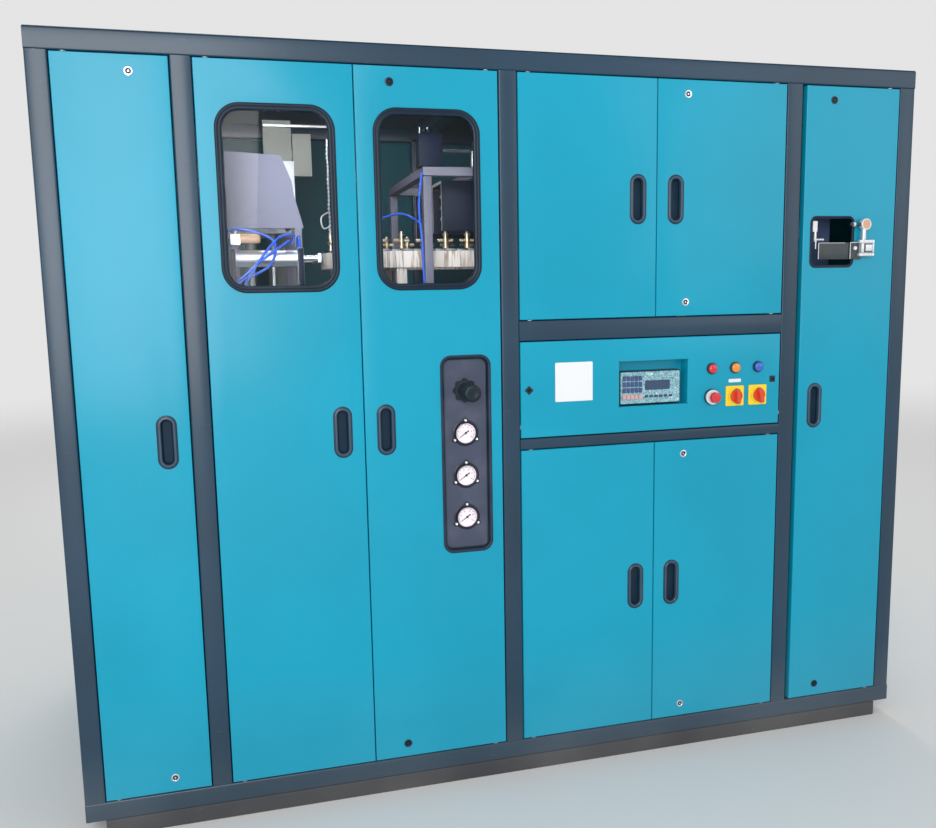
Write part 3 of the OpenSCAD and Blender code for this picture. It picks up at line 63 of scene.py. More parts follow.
# Camera: the place and turn that match the photograph
view = {
    "place": (-0.7887, -2.9245, 1.3825),
    "turn": (0.7464246, 0.65265919, -0.07829543, -0.10371175),
    "lens": 34.504,
    "sensor": 36,
    "nearest": 0.05,
}
cameraData = bpy.data.cameras.new("camera")
cameraData.lens = view["lens"]
cameraData.sensor_width = view["sensor"]
cameraData.clip_start = view["nearest"]
camera = bpy.data.objects.new("camera", cameraData)
camera.location = view["place"]
camera.rotation_mode = "QUATERNION"
camera.rotation_quaternion = Quaternion(view["turn"])
bpy.context.scene.collection.objects.link(camera)
bpy.context.scene.camera = camera


# Small tools for node trees
def feed(tree, socket, value):
    if isinstance(value, bpy.types.NodeSocket):
        tree.links.new(value, socket)
    else:
        socket.default_value = value


def addNode(tree, kind, inputs=None, **settings):
    node = tree.nodes.new(kind)
    for key, value in settings.items():
        setattr(node, key, value)
    for key, value in (inputs or {}).items():
        feed(tree, node.inputs[key], value)
    return node


def newGroup(name, sockets):
    # every finish takes these sockets in and gives colour, roughness and normal
    group = bpy.data.node_groups.new(name, "ShaderNodeTree")
    for label, kind, value in sockets:
        socket = group.interface.new_socket(label, in_out="INPUT", socket_type="NodeSocket" + kind)
        socket.default_value = value
    for label, kind in (("Color", "Color"), ("Roughness", "Float"), ("Normal", "Vector")):
        group.interface.new_socket(label, in_out="OUTPUT", socket_type="NodeSocket" + kind)
    start = group.nodes.new("NodeGroupInput")
    end = group.nodes.new("NodeGroupOutput")
    return group, start.outputs, end.inputs


def blendColor(tree, factor, a, b):
    mix = addNode(tree, "ShaderNodeMix", data_type="RGBA", blend_type="MIX")
    for index, value in ((0, factor), (6, a), (7, b)):
        feed(tree, mix.inputs[index], value)
    return mix.outputs[2]


def mathOf(tree, operation, a, b=0.0, clamp=False):
    return addNode(
        tree, "ShaderNodeMath", {0: a, 1: b}, operation=operation, use_clamp=clamp
    ).outputs[0]


def times(tree, a, b, clamp=False):
    return mathOf(tree, "MULTIPLY", a, b, clamp)


def plus(tree, a, b, clamp=False):
    return mathOf(tree, "ADD", a, b, clamp)


def vectorOf(tree, x=0.0, y=0.0, z=0.0):
    return addNode(tree, "ShaderNodeCombineXYZ", {0: x, 1: y, 2: z}).outputs[0]


def remap(tree, value, low, high, toLow=0.0, toHigh=1.0):
    return addNode(
        tree, "ShaderNodeMapRange",
        {"Value": value, "From Min": low, "From Max": high, "To Min": toLow, "To Max": toHigh},
        interpolation_type="SMOOTHSTEP",
    ).outputs[0]


def placeOf(tree):
    return addNode(tree, "ShaderNodeTexCoord").outputs["Object"]


def noise(tree, place, scale, detail, **more):
    values = {"Vector": place, "Scale": scale, "Detail": detail, **more}
    return addNode(tree, "ShaderNodeTexNoise", values).outputs["Fac"]


def bump(tree, height, strength, distance, under=None):
    values = {"Height": height, "Strength": strength, "Distance": distance}
    if under is not None:
        values["Normal"] = under
    return addNode(tree, "ShaderNodeBump", values).outputs[0]


# Sheet paint: orange peel, a slow wave in the sheet, dust low down and fine scuffs
sheetPaint = {
    "patchScale": 1.7,
    "waveScale": 1.35,
    "peelScale": 420.0,
    "scuffScale": 4.0,
    "scuffStretch": (9.0, 9.0, 55.0),
    "scuffColor": (0.42, 0.5, 0.55, 1),
    "waveReach": 0.02,
    "peelReach": 0.00008,
    "dustRoughness": 0.5,
    "scuffRoughness": 0.25,
}


def buildPaintGroup():
    group, given, out = newGroup("Sheet Paint", [
        ("Color", "Color", (0.5, 0.5, 0.5, 1)), ("Dust Color", "Color", (0.3, 0.28, 0.25, 1)),
        ("Roughness", "Float", 0.3), ("Tone", "Float", 0.1), ("Peel", "Float", 0.3),
        ("Wave", "Float", 0.2), ("Dust", "Float", 0.3), ("Dust Height", "Float", 0.4),
        ("Scuffs", "Float", 0.2),
    ])
    place = placeOf(group)
    patches = noise(group, place, sheetPaint["patchScale"], 3.0)
    swell = noise(group, place, sheetPaint["waveScale"], 1.0)
    orange = noise(group, place, sheetPaint["peelScale"], 1.0)
    drag = addNode(group, "ShaderNodeMapping", {"Vector": place, "Scale": sheetPaint["scuffStretch"]})
    streak = noise(group, drag.outputs[0], sheetPaint["scuffScale"], 6.0, Roughness=0.7)
    height = addNode(group, "ShaderNodeSeparateXYZ", {0: place}).outputs[2]
    low = mathOf(group, "SUBTRACT", 1.0, mathOf(group, "DIVIDE", height, given["Dust Height"]), True)
    patchy = remap(group, patches, 0.35, 0.7, 0.35, 1.0)
    dust = times(group, times(group, low, patchy), given["Dust"], True)
    scuff = times(group, remap(group, streak, 0.66, 0.74), given["Scuffs"], True)
    tone = times(group, remap(group, patches, 0.3, 0.7, -1.0, 1.0), given["Tone"])
    shade = addNode(
        group, "ShaderNodeVectorMath", {0: given["Color"], 3: plus(group, tone, 1.0)}, operation="SCALE",
    )
    worn = blendColor(group, scuff, shade.outputs[0], sheetPaint["scuffColor"])
    group.links.new(blendColor(group, dust, worn, given["Dust Color"]), out["Color"])
    rough = plus(group, given["Roughness"], times(group, dust, sheetPaint["dustRoughness"]))
    rough = plus(group, rough, times(group, scuff, sheetPaint["scuffRoughness"]), True)
    group.links.new(rough, out["Roughness"])
    wave = bump(group, swell, given["Wave"], sheetPaint["waveReach"])
    group.links.new(bump(group, orange, given["Peel"], sheetPaint["peelReach"], wave), out["Normal"])
    return group


# Metal: fine drawn lines along one direction, smudges and small tone changes
workedMetal = {"lineScale": 60.0, "smudgeScale": 24.0, "smudgeRoughness": 0.35, "lineReach": 0.0002}


def buildMetalGroup():
    group, given, out = newGroup("Worked Metal", [
        ("Color", "Color", (0.6, 0.6, 0.6, 1)), ("Tarnish", "Color", (0.3, 0.3, 0.3, 1)),
        ("Roughness", "Float", 0.3), ("Lines", "Vector", (1.0, 1.0, 1.0)),
        ("Line Depth", "Float", 0.2), ("Smudge", "Float", 0.3),
    ])
    place = placeOf(group)
    drawn = addNode(group, "ShaderNodeVectorMath", {0: place, 1: given["Lines"]}, operation="MULTIPLY")
    lines = noise(group, drawn.outputs[0], workedMetal["lineScale"], 4.0)
    smudge = noise(group, place, workedMetal["smudgeScale"], 5.0)
    cloud = times(group, remap(group, smudge, 0.4, 0.7), given["Smudge"], True)
    group.links.new(blendColor(group, cloud, given["Color"], given["Tarnish"]), out["Color"])
    rough = plus(group, given["Roughness"], times(group, cloud, workedMetal["smudgeRoughness"]))
    rough = plus(group, rough, remap(group, lines, 0.3, 0.7, -0.04, 0.06), True)
    group.links.new(rough, out["Roughness"])
    group.links.new(bump(group, lines, given["Line Depth"], workedMetal["lineReach"]), out["Normal"])
    return group


# Moulded plastic and rubber: fine grain, tone, and pale dust caught by the grain
mouldedGrain = {"hazeScale": 14.0, "hazeRoughness": 0.6, "grainReach": 0.0002}


def buildGrainGroup():
    group, given, out = newGroup("Moulded Grain", [
        ("Color", "Color", (0.1, 0.1, 0.1, 1)), ("Bloom", "Color", (0.3, 0.3, 0.3, 1)),
        ("Roughness", "Float", 0.4), ("Grain Scale", "Float", 500.0),
        ("Grain Depth", "Float", 0.3), ("Haze", "Float", 0.1),
    ])
    place = placeOf(group)
    grain = addNode(
        group, "ShaderNodeTexVoronoi", {"Vector": place, "Scale": given["Grain Scale"]},
        feature="SMOOTH_F1",
    ).outputs["Distance"]
    cloud = noise(group, place, mouldedGrain["hazeScale"], 6.0)
    haze = times(group, remap(group, cloud, 0.42, 0.75), given["Haze"], True)
    group.links.new(blendColor(group, haze, given["Color"], given["Bloom"]), out["Color"])
    rough = plus(group, given["Roughness"], times(group, haze, mouldedGrain["hazeRoughness"]), True)
    group.links.new(rough, out["Roughness"])
    group.links.new(bump(group, grain, given["Grain Depth"], mouldedGrain["grainReach"]), out["Normal"])
    return group


paintGroup = buildPaintGroup()
metalGroup = buildMetalGroup()
grainGroup = buildGrainGroup()


def newMaterial(name):
    material = bpy.data.materials.new(name)
    material.use_nodes = True
    return material, material.node_tree, material.node_tree.nodes["Principled BSDF"]


def finishWith(group, name, color, roughness, values):
    # each value goes to the group's socket of that name, or else to the shader's own
    material, tree, shader = newMaterial(name)
    effect = addNode(tree, "ShaderNodeGroup", node_tree=group)
    sockets = {s.name.replace(" ", ""): s for part in (shader, effect) for s in part.inputs}
    for key, value in {"Color": color, "Roughness": roughness, **values}.items():
        sockets[key].default_value = (*value, 1) if sockets[key].type == "RGBA" else value
    for key in ("Roughness", "Normal"):
        tree.links.new(effect.outputs[key], shader.inputs[key])
    tree.links.new(effect.outputs["Color"], shader.inputs["Base Color"])
    material.diffuse_color = (*color, 1)
    return material


def painted(name, color, roughness, **values):
    return finishWith(paintGroup, name, color, roughness, values)


def metal(name, color, roughness, **values):
    return finishWith(metalGroup, name, color, roughness, {"Metallic": 1.0, **values})


def moulded(name, color, roughness, **values):
    return finishWith(grainGroup, name, color, roughness, values)


def seeThrough(name, color):
    # clear panes: lamps shine through them, the eye sees glass
    material, tree, shader = newMaterial(name)
    smear = noise(tree, placeOf(tree), 7.0, 4.0)
    tree.links.new(remap(tree, smear, 0.3, 0.8, 0.0, 0.05), shader.inputs["Roughness"])
    shader.inputs["Base Color"].default_value = (*color, 1)
    shader.inputs["Transmission Weight"].default_value = 1.0
    shader.inputs["IOR"].default_value = 1.2
    clear = addNode(tree, "ShaderNodeBsdfTransparent", {"Color": (*color, 1)})
    shadow = addNode(tree, "ShaderNodeLightPath").outputs["Is Shadow Ray"]
    mix = addNode(tree, "ShaderNodeMixShader", {0: shadow, 1: shader.outputs[0], 2: clear.outputs[0]})
    tree.links.new(mix.outputs[0], tree.nodes["Material Output"].inputs["Surface"])
    return material


doorTeal = painted(
    "doorTeal", (0.003, 0.315, 0.470), 0.3, SpecularIORLevel=0.22, CoatWeight=0.22, CoatRoughness=0.2,
    Tone=0.05, Peel=0.25, Wave=0.3, Dust=0.1, DustHeight=0.4, Scuffs=0.05,
)
frameSlate = painted(
    "frameSlate", (0.011, 0.040, 0.074), 0.32, SpecularIORLevel=0.35, CoatWeight=0.25, CoatRoughness=0.2,
    Tone=0.15, Peel=0.3, Wave=0.15, Dust=0.22, DustHeight=0.25, Scuffs=0.2,
)
plinthBlack = painted(
    "plinthBlack", (0.026, 0.030, 0.040), 0.5, SpecularIORLevel=0.3,
    Tone=0.15, Peel=0.4, Wave=0.05, Dust=0.3, DustHeight=0.2, Scuffs=0.3,
)
clampGrey = painted(
    "clampGrey", (0.27, 0.265, 0.36), 0.5, SpecularIORLevel=0.25,
    Tone=0.04, Peel=0.5, Scuffs=0.1, Dust=0.0,
)
standGrey = painted("standGrey", (0.150, 0.145, 0.20), 0.42, Tone=0.1, Peel=0.5, Scuffs=0.2, Dust=0.0)
hoodBlack = painted(
    "hoodBlack", (0.004, 0.011, 0.034), 0.35, SpecularIORLevel=0.15,
    Tone=0.2, Peel=0.4, Scuffs=0.12, Dust=0.0,
)
receiverBlue = painted("receiverBlue", (0.05, 0.12, 0.2), 0.35, Tone=0.1, Peel=0.4, Dust=0.2)
motorBlue = painted("motorBlue", (0.07, 0.1, 0.17), 0.4, Tone=0.1, Peel=0.6, Dust=0.2)
ductBeige = painted("ductBeige", (0.36, 0.36, 0.33), 0.45, Tone=0.06, Peel=0.2, Dust=0.0)
# darker copy of the door teal for the faces inside the cabinet: painted shade of the dark interior, on
# what is the same paint as outside
coverInsideShade = painted(
    "coverInsideShade", (0.003, 0.105, 0.140), 0.45, SpecularIORLevel=0.25, Tone=0.2, Peel=0.3, Dust=0.0,
)
plateWhite = painted(
    "plateWhite", (0.80, 0.82, 0.84), 0.22, CoatWeight=0.5, CoatRoughness=0.05,
    Tone=0.02, Peel=0.05, Wave=0.05, Dust=0.0, Scuffs=0.0,
)
valveSilver = painted(
    "valveSilver", (0.66, 0.69, 0.73), 0.3, Metallic=0.5, Tone=0.1, Peel=0.6, Scuffs=0.3, Dust=0.0,
)
pullSlate = moulded(
    "pullSlate", (0.008, 0.030, 0.058), 0.36, CoatWeight=0.1, SpecularIORLevel=0.3,
    Bloom=(0.12, 0.18, 0.26), Haze=0.1, GrainScale=900.0, GrainDepth=0.15,
)
pullDark = moulded(
    "pullDark", (0.008, 0.026, 0.050), 0.5, SpecularIORLevel=0.15,
    Bloom=(0.10, 0.16, 0.22), Haze=0.05, GrainScale=900.0, GrainDepth=0.15,
)
pullLip = moulded(
    "pullLip", (0.022, 0.054, 0.094), 0.32, CoatWeight=0.2,
    Bloom=(0.16, 0.22, 0.30), Haze=0.06, GrainScale=900.0, GrainDepth=0.1,
)
rubberBlack = moulded(
    "rubberBlack", (0.003, 0.014, 0.030), 0.36, SpecularIORLevel=0.25,
    Bloom=(0.07, 0.12, 0.20), Haze=0.06, GrainScale=700.0, GrainDepth=0.2,
)
trayPlastic = moulded(
    "trayPlastic", (0.054, 0.068, 0.112), 0.42, SpecularIORLevel=0.35,
    Bloom=(0.20, 0.20, 0.27), Haze=0.2, GrainScale=450.0, GrainDepth=0.35,
)
# darker copy of the tray plastic for its rim and walls: painted shade of the recess, while the floor
# keeps the lit tone
trayEdge = moulded(
    "trayEdge", (0.010, 0.021, 0.044), 0.4, SpecularIORLevel=0.35,
    Bloom=(0.14, 0.18, 0.26), Haze=0.1, GrainScale=450.0, GrainDepth=0.35,
)
knobCharcoal = moulded(
    "knobCharcoal", (0.006, 0.014, 0.022), 0.4, SpecularIORLevel=0.25,
    Bloom=(0.16, 0.18, 0.2), Haze=0.1, GrainScale=500.0, GrainDepth=0.3,
)
blackPlastic = moulded(
    "blackPlastic", (0.008, 0.012, 0.022), 0.3, CoatWeight=0.1, SpecularIORLevel=0.35,
    Bloom=(0.14, 0.16, 0.2), Haze=0.08, GrainScale=700.0, GrainDepth=0.15,
)
valveBlack = moulded(
    "valveBlack", (0.010, 0.022, 0.026), 0.32, CoatWeight=0.2, Bloom=(0.14, 0.18, 0.19), Haze=0.1,
)
gearPlastic = moulded("gearPlastic", (0.60, 0.61, 0.60), 0.45, Haze=0.1)
gearDark = moulded("gearDark", (0.05, 0.055, 0.06), 0.45, Haze=0.1)
gearBlue = moulded("gearBlue", (0.10, 0.19, 0.30), 0.4, Haze=0.1)
nylonBlue = moulded("nylonBlue", (0.015, 0.10, 0.62), 0.25, CoatWeight=0.4, Haze=0.05)
unitNavy = moulded("unitNavy", (0.080, 0.125, 0.26), 0.35, CoatWeight=0.2, Haze=0.08)
signalRed = moulded("signalRed", (0.62, 0.022, 0.030), 0.25, CoatWeight=0.4, Haze=0.03)
handleRed = moulded("handleRed", (0.72, 0.050, 0.012), 0.3, CoatWeight=0.3, Haze=0.04)
switchYellow = moulded("switchYellow", (0.90, 0.66, 0.02), 0.3, CoatWeight=0.3, Haze=0.03)
ringWhite = moulded("ringWhite", (0.74, 0.74, 0.78), 0.3, CoatWeight=0.2, Haze=0.05)
keyNavy = moulded("keyNavy", (0.045, 0.075, 0.20), 0.35, Haze=0.1)
keyRose = moulded("keyRose", (0.62, 0.36, 0.36), 0.35, Haze=0.1)
screenBlue = moulded("screenBlue", (0.020, 0.050, 0.12), 0.12, CoatWeight=0.6, Haze=0.05)
dialWhite = moulded("dialWhite", (0.74, 0.64, 0.71), 0.4, Haze=0.03)
inkBlack = moulded("inkBlack", (0.012, 0.012, 0.014), 0.4, Haze=0.02)
copperFace = moulded("copperFace", (0.62, 0.36, 0.22), 0.4, Haze=0.1)
lens = {"CoatWeight": 0.6, "SubsurfaceWeight": 0.1, "Haze": 0.02}
lensRed = moulded("lensRed", (0.62, 0.020, 0.030), 0.15, **lens)
lensAmber = moulded("lensAmber", (0.82, 0.27, 0.030), 0.15, **lens)
lensBlue = moulded("lensBlue", (0.020, 0.11, 0.56), 0.15, **lens)
chrome = metal("chrome", (0.80, 0.82, 0.86), 0.16, Tarnish=(0.5, 0.5, 0.52), Smudge=0.2, LineDepth=0.05)
steelDrawn = metal(
    "steelDrawn", (0.52, 0.54, 0.57), 0.32,
    Tarnish=(0.3, 0.3, 0.31), Lines=(1.0, 14.0, 14.0), Smudge=0.4,
)
steelGround = metal(
    "steelGround", (0.34, 0.36, 0.40), 0.4,
    Tarnish=(0.2, 0.2, 0.21), Lines=(12.0, 1.0, 12.0), Smudge=0.5,
)
aluminium = metal(
    "aluminium", (0.80, 0.82, 0.86), 0.3,
    Tarnish=(0.55, 0.55, 0.57), Lines=(12.0, 12.0, 1.0), Smudge=0.3,
)
brass = metal(
    "brass", (0.90, 0.78, 0.58), 0.24,
    Tarnish=(0.5, 0.32, 0.14), Lines=(1.0, 1.0, 10.0), Smudge=0.5,
)
paneClear = seeThrough("paneClear", (0.95, 0.98, 0.99))
gaugeGlass = seeThrough("gaugeGlass", (0.99, 0.99, 0.99))


# Track: cream bars with brown upright streaks
streaks = {
    "cream": (0.84, 0.74, 0.68, 1),
    "brown": (0.34, 0.22, 0.17, 1),
    "stretch": (150.0, 150.0, 9.0),
    "patchScale": 14.0,
    "roughness": (0.3, 0.5),
}


def buildStreaks():
    material, tree, shader = newMaterial("trackCream")
    place = placeOf(tree)
    drawn = addNode(tree, "ShaderNodeMapping", {"Vector": place, "Scale": streaks["stretch"]}).outputs[0]
    mask = times(
        tree, remap(tree, noise(tree, drawn, 1.0, 3.0), 0.46, 0.62),
        remap(tree, noise(tree, place, streaks["patchScale"], 2.0), 0.3, 0.6, 0.3, 1.0),
    )
    tone = blendColor(tree, mask, streaks["cream"], streaks["brown"])
    tree.links.new(tone, shader.inputs["Base Color"])
    rough = remap(tree, mask, 0.0, 1.0, *streaks["roughness"])
    tree.links.new(rough, shader.inputs["Roughness"])
    return material


# Terminal face: pale panel under a crumpled clear film, with dark spots of painted shade and a painted
# highlight on the crests of its folds
film = {
    "panel": (0.26, 0.50, 0.56, 1),
    # the dark spot colour is painted shade and the pale one a painted highlight
    "marks": (0.09, 0.22, 0.30, 1),
    "glare": (0.80, 0.9, 0.93, 1),
    "markScale": 210.0,
    "foldScale": 85.0,
    "foldStrength": 0.7,
    "foldReach": 0.002,
    "roughness": (0.1, 0.3),
}


def buildFilm():
    material, tree, shader = newMaterial("terminalFilm")
    place = placeOf(tree)
    fold = noise(tree, place, film["foldScale"], 5.0, Roughness=0.65, Distortion=1.4)
    # dark spots of painted shade over the pale panel
    marks = addNode(tree, "ShaderNodeTexVoronoi", {"Vector": place, "Scale": film["markScale"]})
    paintedShadeMask = remap(tree, marks.outputs["Distance"], 0.25, 0.6)
    face = blendColor(tree, paintedShadeMask, film["marks"], film["panel"])
    # painted highlight where the folds rise
    glare = remap(tree, fold, 0.56, 0.66)
    tree.links.new(blendColor(tree, glare, face, film["glare"]), shader.inputs["Base Color"])
    creases = bump(tree, fold, film["foldStrength"], film["foldReach"])
    tree.links.new(creases, shader.inputs["Normal"])
    rough = remap(tree, fold, 0.3, 0.7, *film["roughness"])
    tree.links.new(rough, shader.inputs["Roughness"])
    return material


trackCream = buildStreaks()
terminalFilm = buildFilm()
print("materials ready")


# Small tools for meshes
def roundRect(w, h, r, steps=6):
    def outline(inset):
        halfW, halfH, radius = w / 2 - inset, h / 2 - inset, max(r - inset, 0.15)
        points = []
        for sx, sy, turn in ((1, 1, 0), (-1, 1, 90), (-1, -1, 180), (1, -1, 270)):
            for i in range(steps + 1):
                a = math.radians(turn + 90 * i / steps)
                points.append((
                    sx * (halfW - radius) + radius * math.cos(a),
                    sy * (halfH - radius) + radius * math.sin(a),
                ))
        return points

    return outline


def plainRect(w, h):
    def outline(inset):
        a, b = w / 2 - inset, h / 2 - inset
        return [(a, b), (-a, b), (-a, -b), (a, -b)]

    return outline


def disc(d, steps=32, lobes=0, bite=0.0):
    def outline(inset):
        points = []
        for i in range(steps):
            a = 2 * math.pi * i / steps
            r = d / 2 - inset - bite * (0.5 - 0.5 * math.cos(lobes * a))
            points.append((r * math.cos(a), r * math.sin(a)))
        return points

    return outline


def front(x, z, turn=0.0):
    c, s = math.cos(math.radians(turn)), math.sin(math.radians(turn))
    return lambda u, v, d: at(x + u * c - v * s, d, z + u * s + v * c)


def upright(x, y, angle=0.0):
    c, s = math.cos(angle), math.sin(angle)
    return lambda u, v, d: at(x + u * c - v * s, y + u * s + v * c, d)


def sideways(y, z):
    return lambda u, v, d: at(d, y + u, z + v)


def skin(bm, rings, material=0):
    # faces from each ring of points to the next
    count = len(rings[0])
    for a, b in zip(rings, rings[1:]):
        for i in range(count):
            j = (i + 1) % count
            bm.faces.new((a[i], a[j], b[j], b[i])).material_index = material


def loft(bm, outline, profile, place, material=0, ends=True, closed=False):
    # profile rows are (inset, depth) or (inset, depth, material of the band that follows);
    # the two ends take the material of the whole and of the last row
    rings = [[bm.verts.new(place(u, v, row[1])) for u, v in outline(row[0])] for row in profile]
    bands = [row[2] if len(row) > 2 else material for row in profile]
    for a, b, band in zip(rings, rings[1:], bands):
        skin(bm, [a, b], band)
    if closed:
        skin(bm, [rings[-1], rings[0]], bands[-1])
    elif ends:
        bm.faces.new(rings[0]).material_index = material
        bm.faces.new(rings[-1]).material_index = bands[-1]
    return rings


def easedBar(bm, outline, place, a, b, e, material):
    # a length of one outline, with its two ends eased
    loft(bm, outline, [(e, a), (0, a + e), (0, b - e), (e, b)], place, material)


def block(bm, x0, x1, y0, y1, z0, z1, r=2.0, material=0):
    # a block with rounded long edges and eased ends
    size = (x1 - x0, y1 - y0, z1 - z0)
    x, y, z = (x0 + x1) / 2, (y0 + y1) / 2, (z0 + z1) / 2
    longest = size.index(max(size))
    place = (sideways(y, z), front(x, z), upright(x, y))[longest]
    a, b = ((x0, x1), (y0, y1), (z0, z1))[longest]
    across = [length for i, length in enumerate(size) if i != longest]
    easedBar(bm, roundRect(*across, r, 3), place, a, b, min(r * 0.6, min(size) * 0.3), material)


def rod(bm, axis, p, q, a, b, d, material=0, ease=0.8, steps=24):
    # a round bar; p and q are its place across the axis, a and b its ends along it
    place = {"x": sideways, "y": front, "z": upright}[axis](p, q)
    easedBar(bm, disc(d, steps), place, a, b, min(ease, d * 0.2, abs(b - a) * 0.3), material)


def pipe(bm, points, d, steps=10):
    # a round tube through points, with its ends closed
    path = [at(*p) for p in points]
    rings, side = [], None
    for i, p in enumerate(path):
        ahead = (path[min(i + 1, len(path) - 1)] - path[max(i - 1, 0)]).normalized()
        if side is None:
            side = ahead.orthogonal().normalized()
        side = (side - ahead * side.dot(ahead)).normalized()
        other = ahead.cross(side)
        rings.append([
            bm.verts.new(p + (side * math.cos(t) + other * math.sin(t)) * d / 2000)
            for t in (2 * math.pi * k / steps for k in range(steps))
        ])
    skin(bm, rings)
    for ring in (rings[0], rings[-1]):
        bm.faces.new(ring)


def smoothPath(points, steps=6):
    # Catmull-Rom curve through the points
    out = []
    for i in range(len(points) - 1):
        p = [Vector(points[max(0, min(len(points) - 1, i + k))]) for k in (-1, 0, 1, 2)]
        for s in range(steps):
            t = s / steps
            out.append(0.5 * (
                2 * p[1] + (p[2] - p[0]) * t + (2 * p[0] - 5 * p[1] + 4 * p[2] - p[3]) * t * t
                + (3 * p[1] - p[0] - 3 * p[2] + p[3]) * t ** 3
            ))
    return out + [Vector(points[-1])]


def camel(node):
    words = node.split("_")
    return words[0] + "".join(word.capitalize() for word in words[1:])


def meshFrom(bm, name):
    mesh = bpy.data.meshes.new(name)
    bm.to_mesh(mesh)
    bm.free()
    return mesh


def addPiece(name, source, materials, body, nodes=(), angle=32):
    mesh = source
    if isinstance(source, bmesh.types.BMesh):
        bmesh.ops.recalc_face_normals(source, faces=source.faces)
        mesh = meshFrom(source, name)
    mesh.polygons.foreach_set("use_smooth", [True] * len(mesh.polygons))
    mesh.set_sharp_from_angle(angle=math.radians(angle))
    if not mesh.materials:
        for material in materials:
            mesh.materials.append(material)
    piece = bpy.data.objects.new(name, mesh)
    bpy.context.scene.collection.objects.link(piece)
    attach(piece, body)
    if nodes:
        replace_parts(piece, *nodes)
    return piece


def addNodePiece(node, source, materials, body, angle=32):
    # a piece that takes the place of one CAD node and has its name
    return addPiece(camel(node), source, materials, body, [node], angle)


cadCopy = {"weld": 0.00002, "flat": 0.01, "sharp": 35, "segments": 2, "profile": 0.6}


def dressCad(name, node, materials, body, slotName, width, pick=None):
    # a copy of the CAD solid with its edges eased
    bm = bmesh.new()
    bm.from_mesh(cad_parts[node].data)
    bmesh.ops.remove_doubles(bm, verts=bm.verts, dist=cadCopy["weld"])
    bmesh.ops.dissolve_limit(bm, angle_limit=cadCopy["flat"], verts=bm.verts, edges=bm.edges)
    halfW, halfD = cabinet["width"] / 2, cabinet["depth"] / 2
    for face in bm.faces:
        c = face.calc_center_median() * 1000
        face.material_index = pick(c.x + halfW, c.y + halfD, c.z, face.normal) if pick else 0
    sharp = [
        e for e in bm.edges
        if len(e.link_faces) == 2 and e.calc_face_angle(0.0) > math.radians(cadCopy["sharp"])
    ]
    bmesh.ops.bevel(
        bm, geom=sharp, offset=width / 1000, segments=cadCopy["segments"], profile=cadCopy["profile"],
        affect="EDGES", clamp_overlap=True,
    )
    return addPiece(name, meshFrom(bm, name), materials, body, [node])


# Geometry node trees
def newTree(name, sockets):
    # sockets are names with their first values; every tree takes a path and a material
    tree = bpy.data.node_groups.new(name, "GeometryNodeTree")
    tree.interface.new_socket("Geometry", in_out="INPUT", socket_type="NodeSocketGeometry")
    for label, value in sockets.items():
        kind = "Int" if isinstance(value, int) else "Rotation" if isinstance(value, tuple) else "Float"
        socket = tree.interface.new_socket(label, in_out="INPUT", socket_type="NodeSocket" + kind)
        socket.default_value = value
    tree.interface.new_socket("Material", in_out="INPUT", socket_type="NodeSocketMaterial")
    tree.interface.new_socket("Geometry", in_out="OUTPUT", socket_type="NodeSocketGeometry")
    start = tree.nodes.new("NodeGroupInput")
    end = tree.nodes.new("NodeGroupOutput")
    return tree, start.outputs, end.inputs


def closeTree(tree, geometry, material, end):
    real = addNode(tree, "GeometryNodeRealizeInstances", {0: geometry})
    ready = addNode(tree, "GeometryNodeSetMaterial", {"Geometry": real.outputs[0], "Material": material})
    tree.links.new(ready.outputs[0], end["Geometry"])


def onPoints(tree, points, instance, **more):
    return addNode(
        tree, "GeometryNodeInstanceOnPoints", {"Points": points, "Instance": instance, **more}
    ).outputs[0]


def moved(tree, geometry, shift, **more):
    return addNode(
        tree, "GeometryNodeTransform", {"Geometry": geometry, "Translation": shift, **more}
    ).outputs[0]


def runTree(name, tree, verts, edges, values, material, body, slotName=None):
    mesh = bpy.data.meshes.new(name + "Path")
    mesh.from_pydata([tuple(v) for v in verts], edges, [])
    maker = bpy.data.objects.new(name + "Maker", mesh)
    bpy.context.scene.collection.objects.link(maker)
    modifier = maker.modifiers.new("make", "NODES")
    modifier.node_group = tree
    given = {**values, "Material": material}
    for item in tree.interface.items_tree:
        if item.in_out == "INPUT" and item.name in given:
            modifier[item.identifier] = given[item.name]
    bpy.context.view_layer.update()
    solved = maker.evaluated_get(bpy.context.evaluated_depsgraph_get())
    result = bpy.data.meshes.new_from_object(solved)
    maker.modifiers.clear()
    bpy.data.objects.remove(maker)
    result.name = name
    return addPiece(name, result, [material], body, ())


# Tubes: every edge of the path becomes a bar of rounded rectangular section
def buildTubeTree():
    tree, given, end = newTree("Welded Tubes", {
        "Section Width": 0.05, "Section Height": 0.05, "Corner Radius": 0.004,
    })
    lines = addNode(tree, "GeometryNodeMeshToCurve", {0: given["Geometry"]})
    section = addNode(
        tree, "GeometryNodeCurvePrimitiveQuadrilateral",
        {"Width": given["Section Width"], "Height": given["Section Height"]}, mode="RECTANGLE",
    )
    rounded = addNode(
        tree, "GeometryNodeFilletCurve",
        {"Curve": section.outputs[0], "Radius": given["Corner Radius"], "Count": 3}, mode="POLY",
    )
    bars = addNode(
        tree, "GeometryNodeCurveToMesh",
        {"Curve": lines.outputs[0], "Profile Curve": rounded.outputs[0], "Fill Caps": True},
    )
    closeTree(tree, bars.outputs[0], given["Material"], end)
    return tree


# Screws: a headed disc with a socket on every point of the path
screwShape = {"sides": 20, "crownHeight": 0.35, "crownShare": 0.82, "pitDepth": 1.9, "pitLift": 0.7}


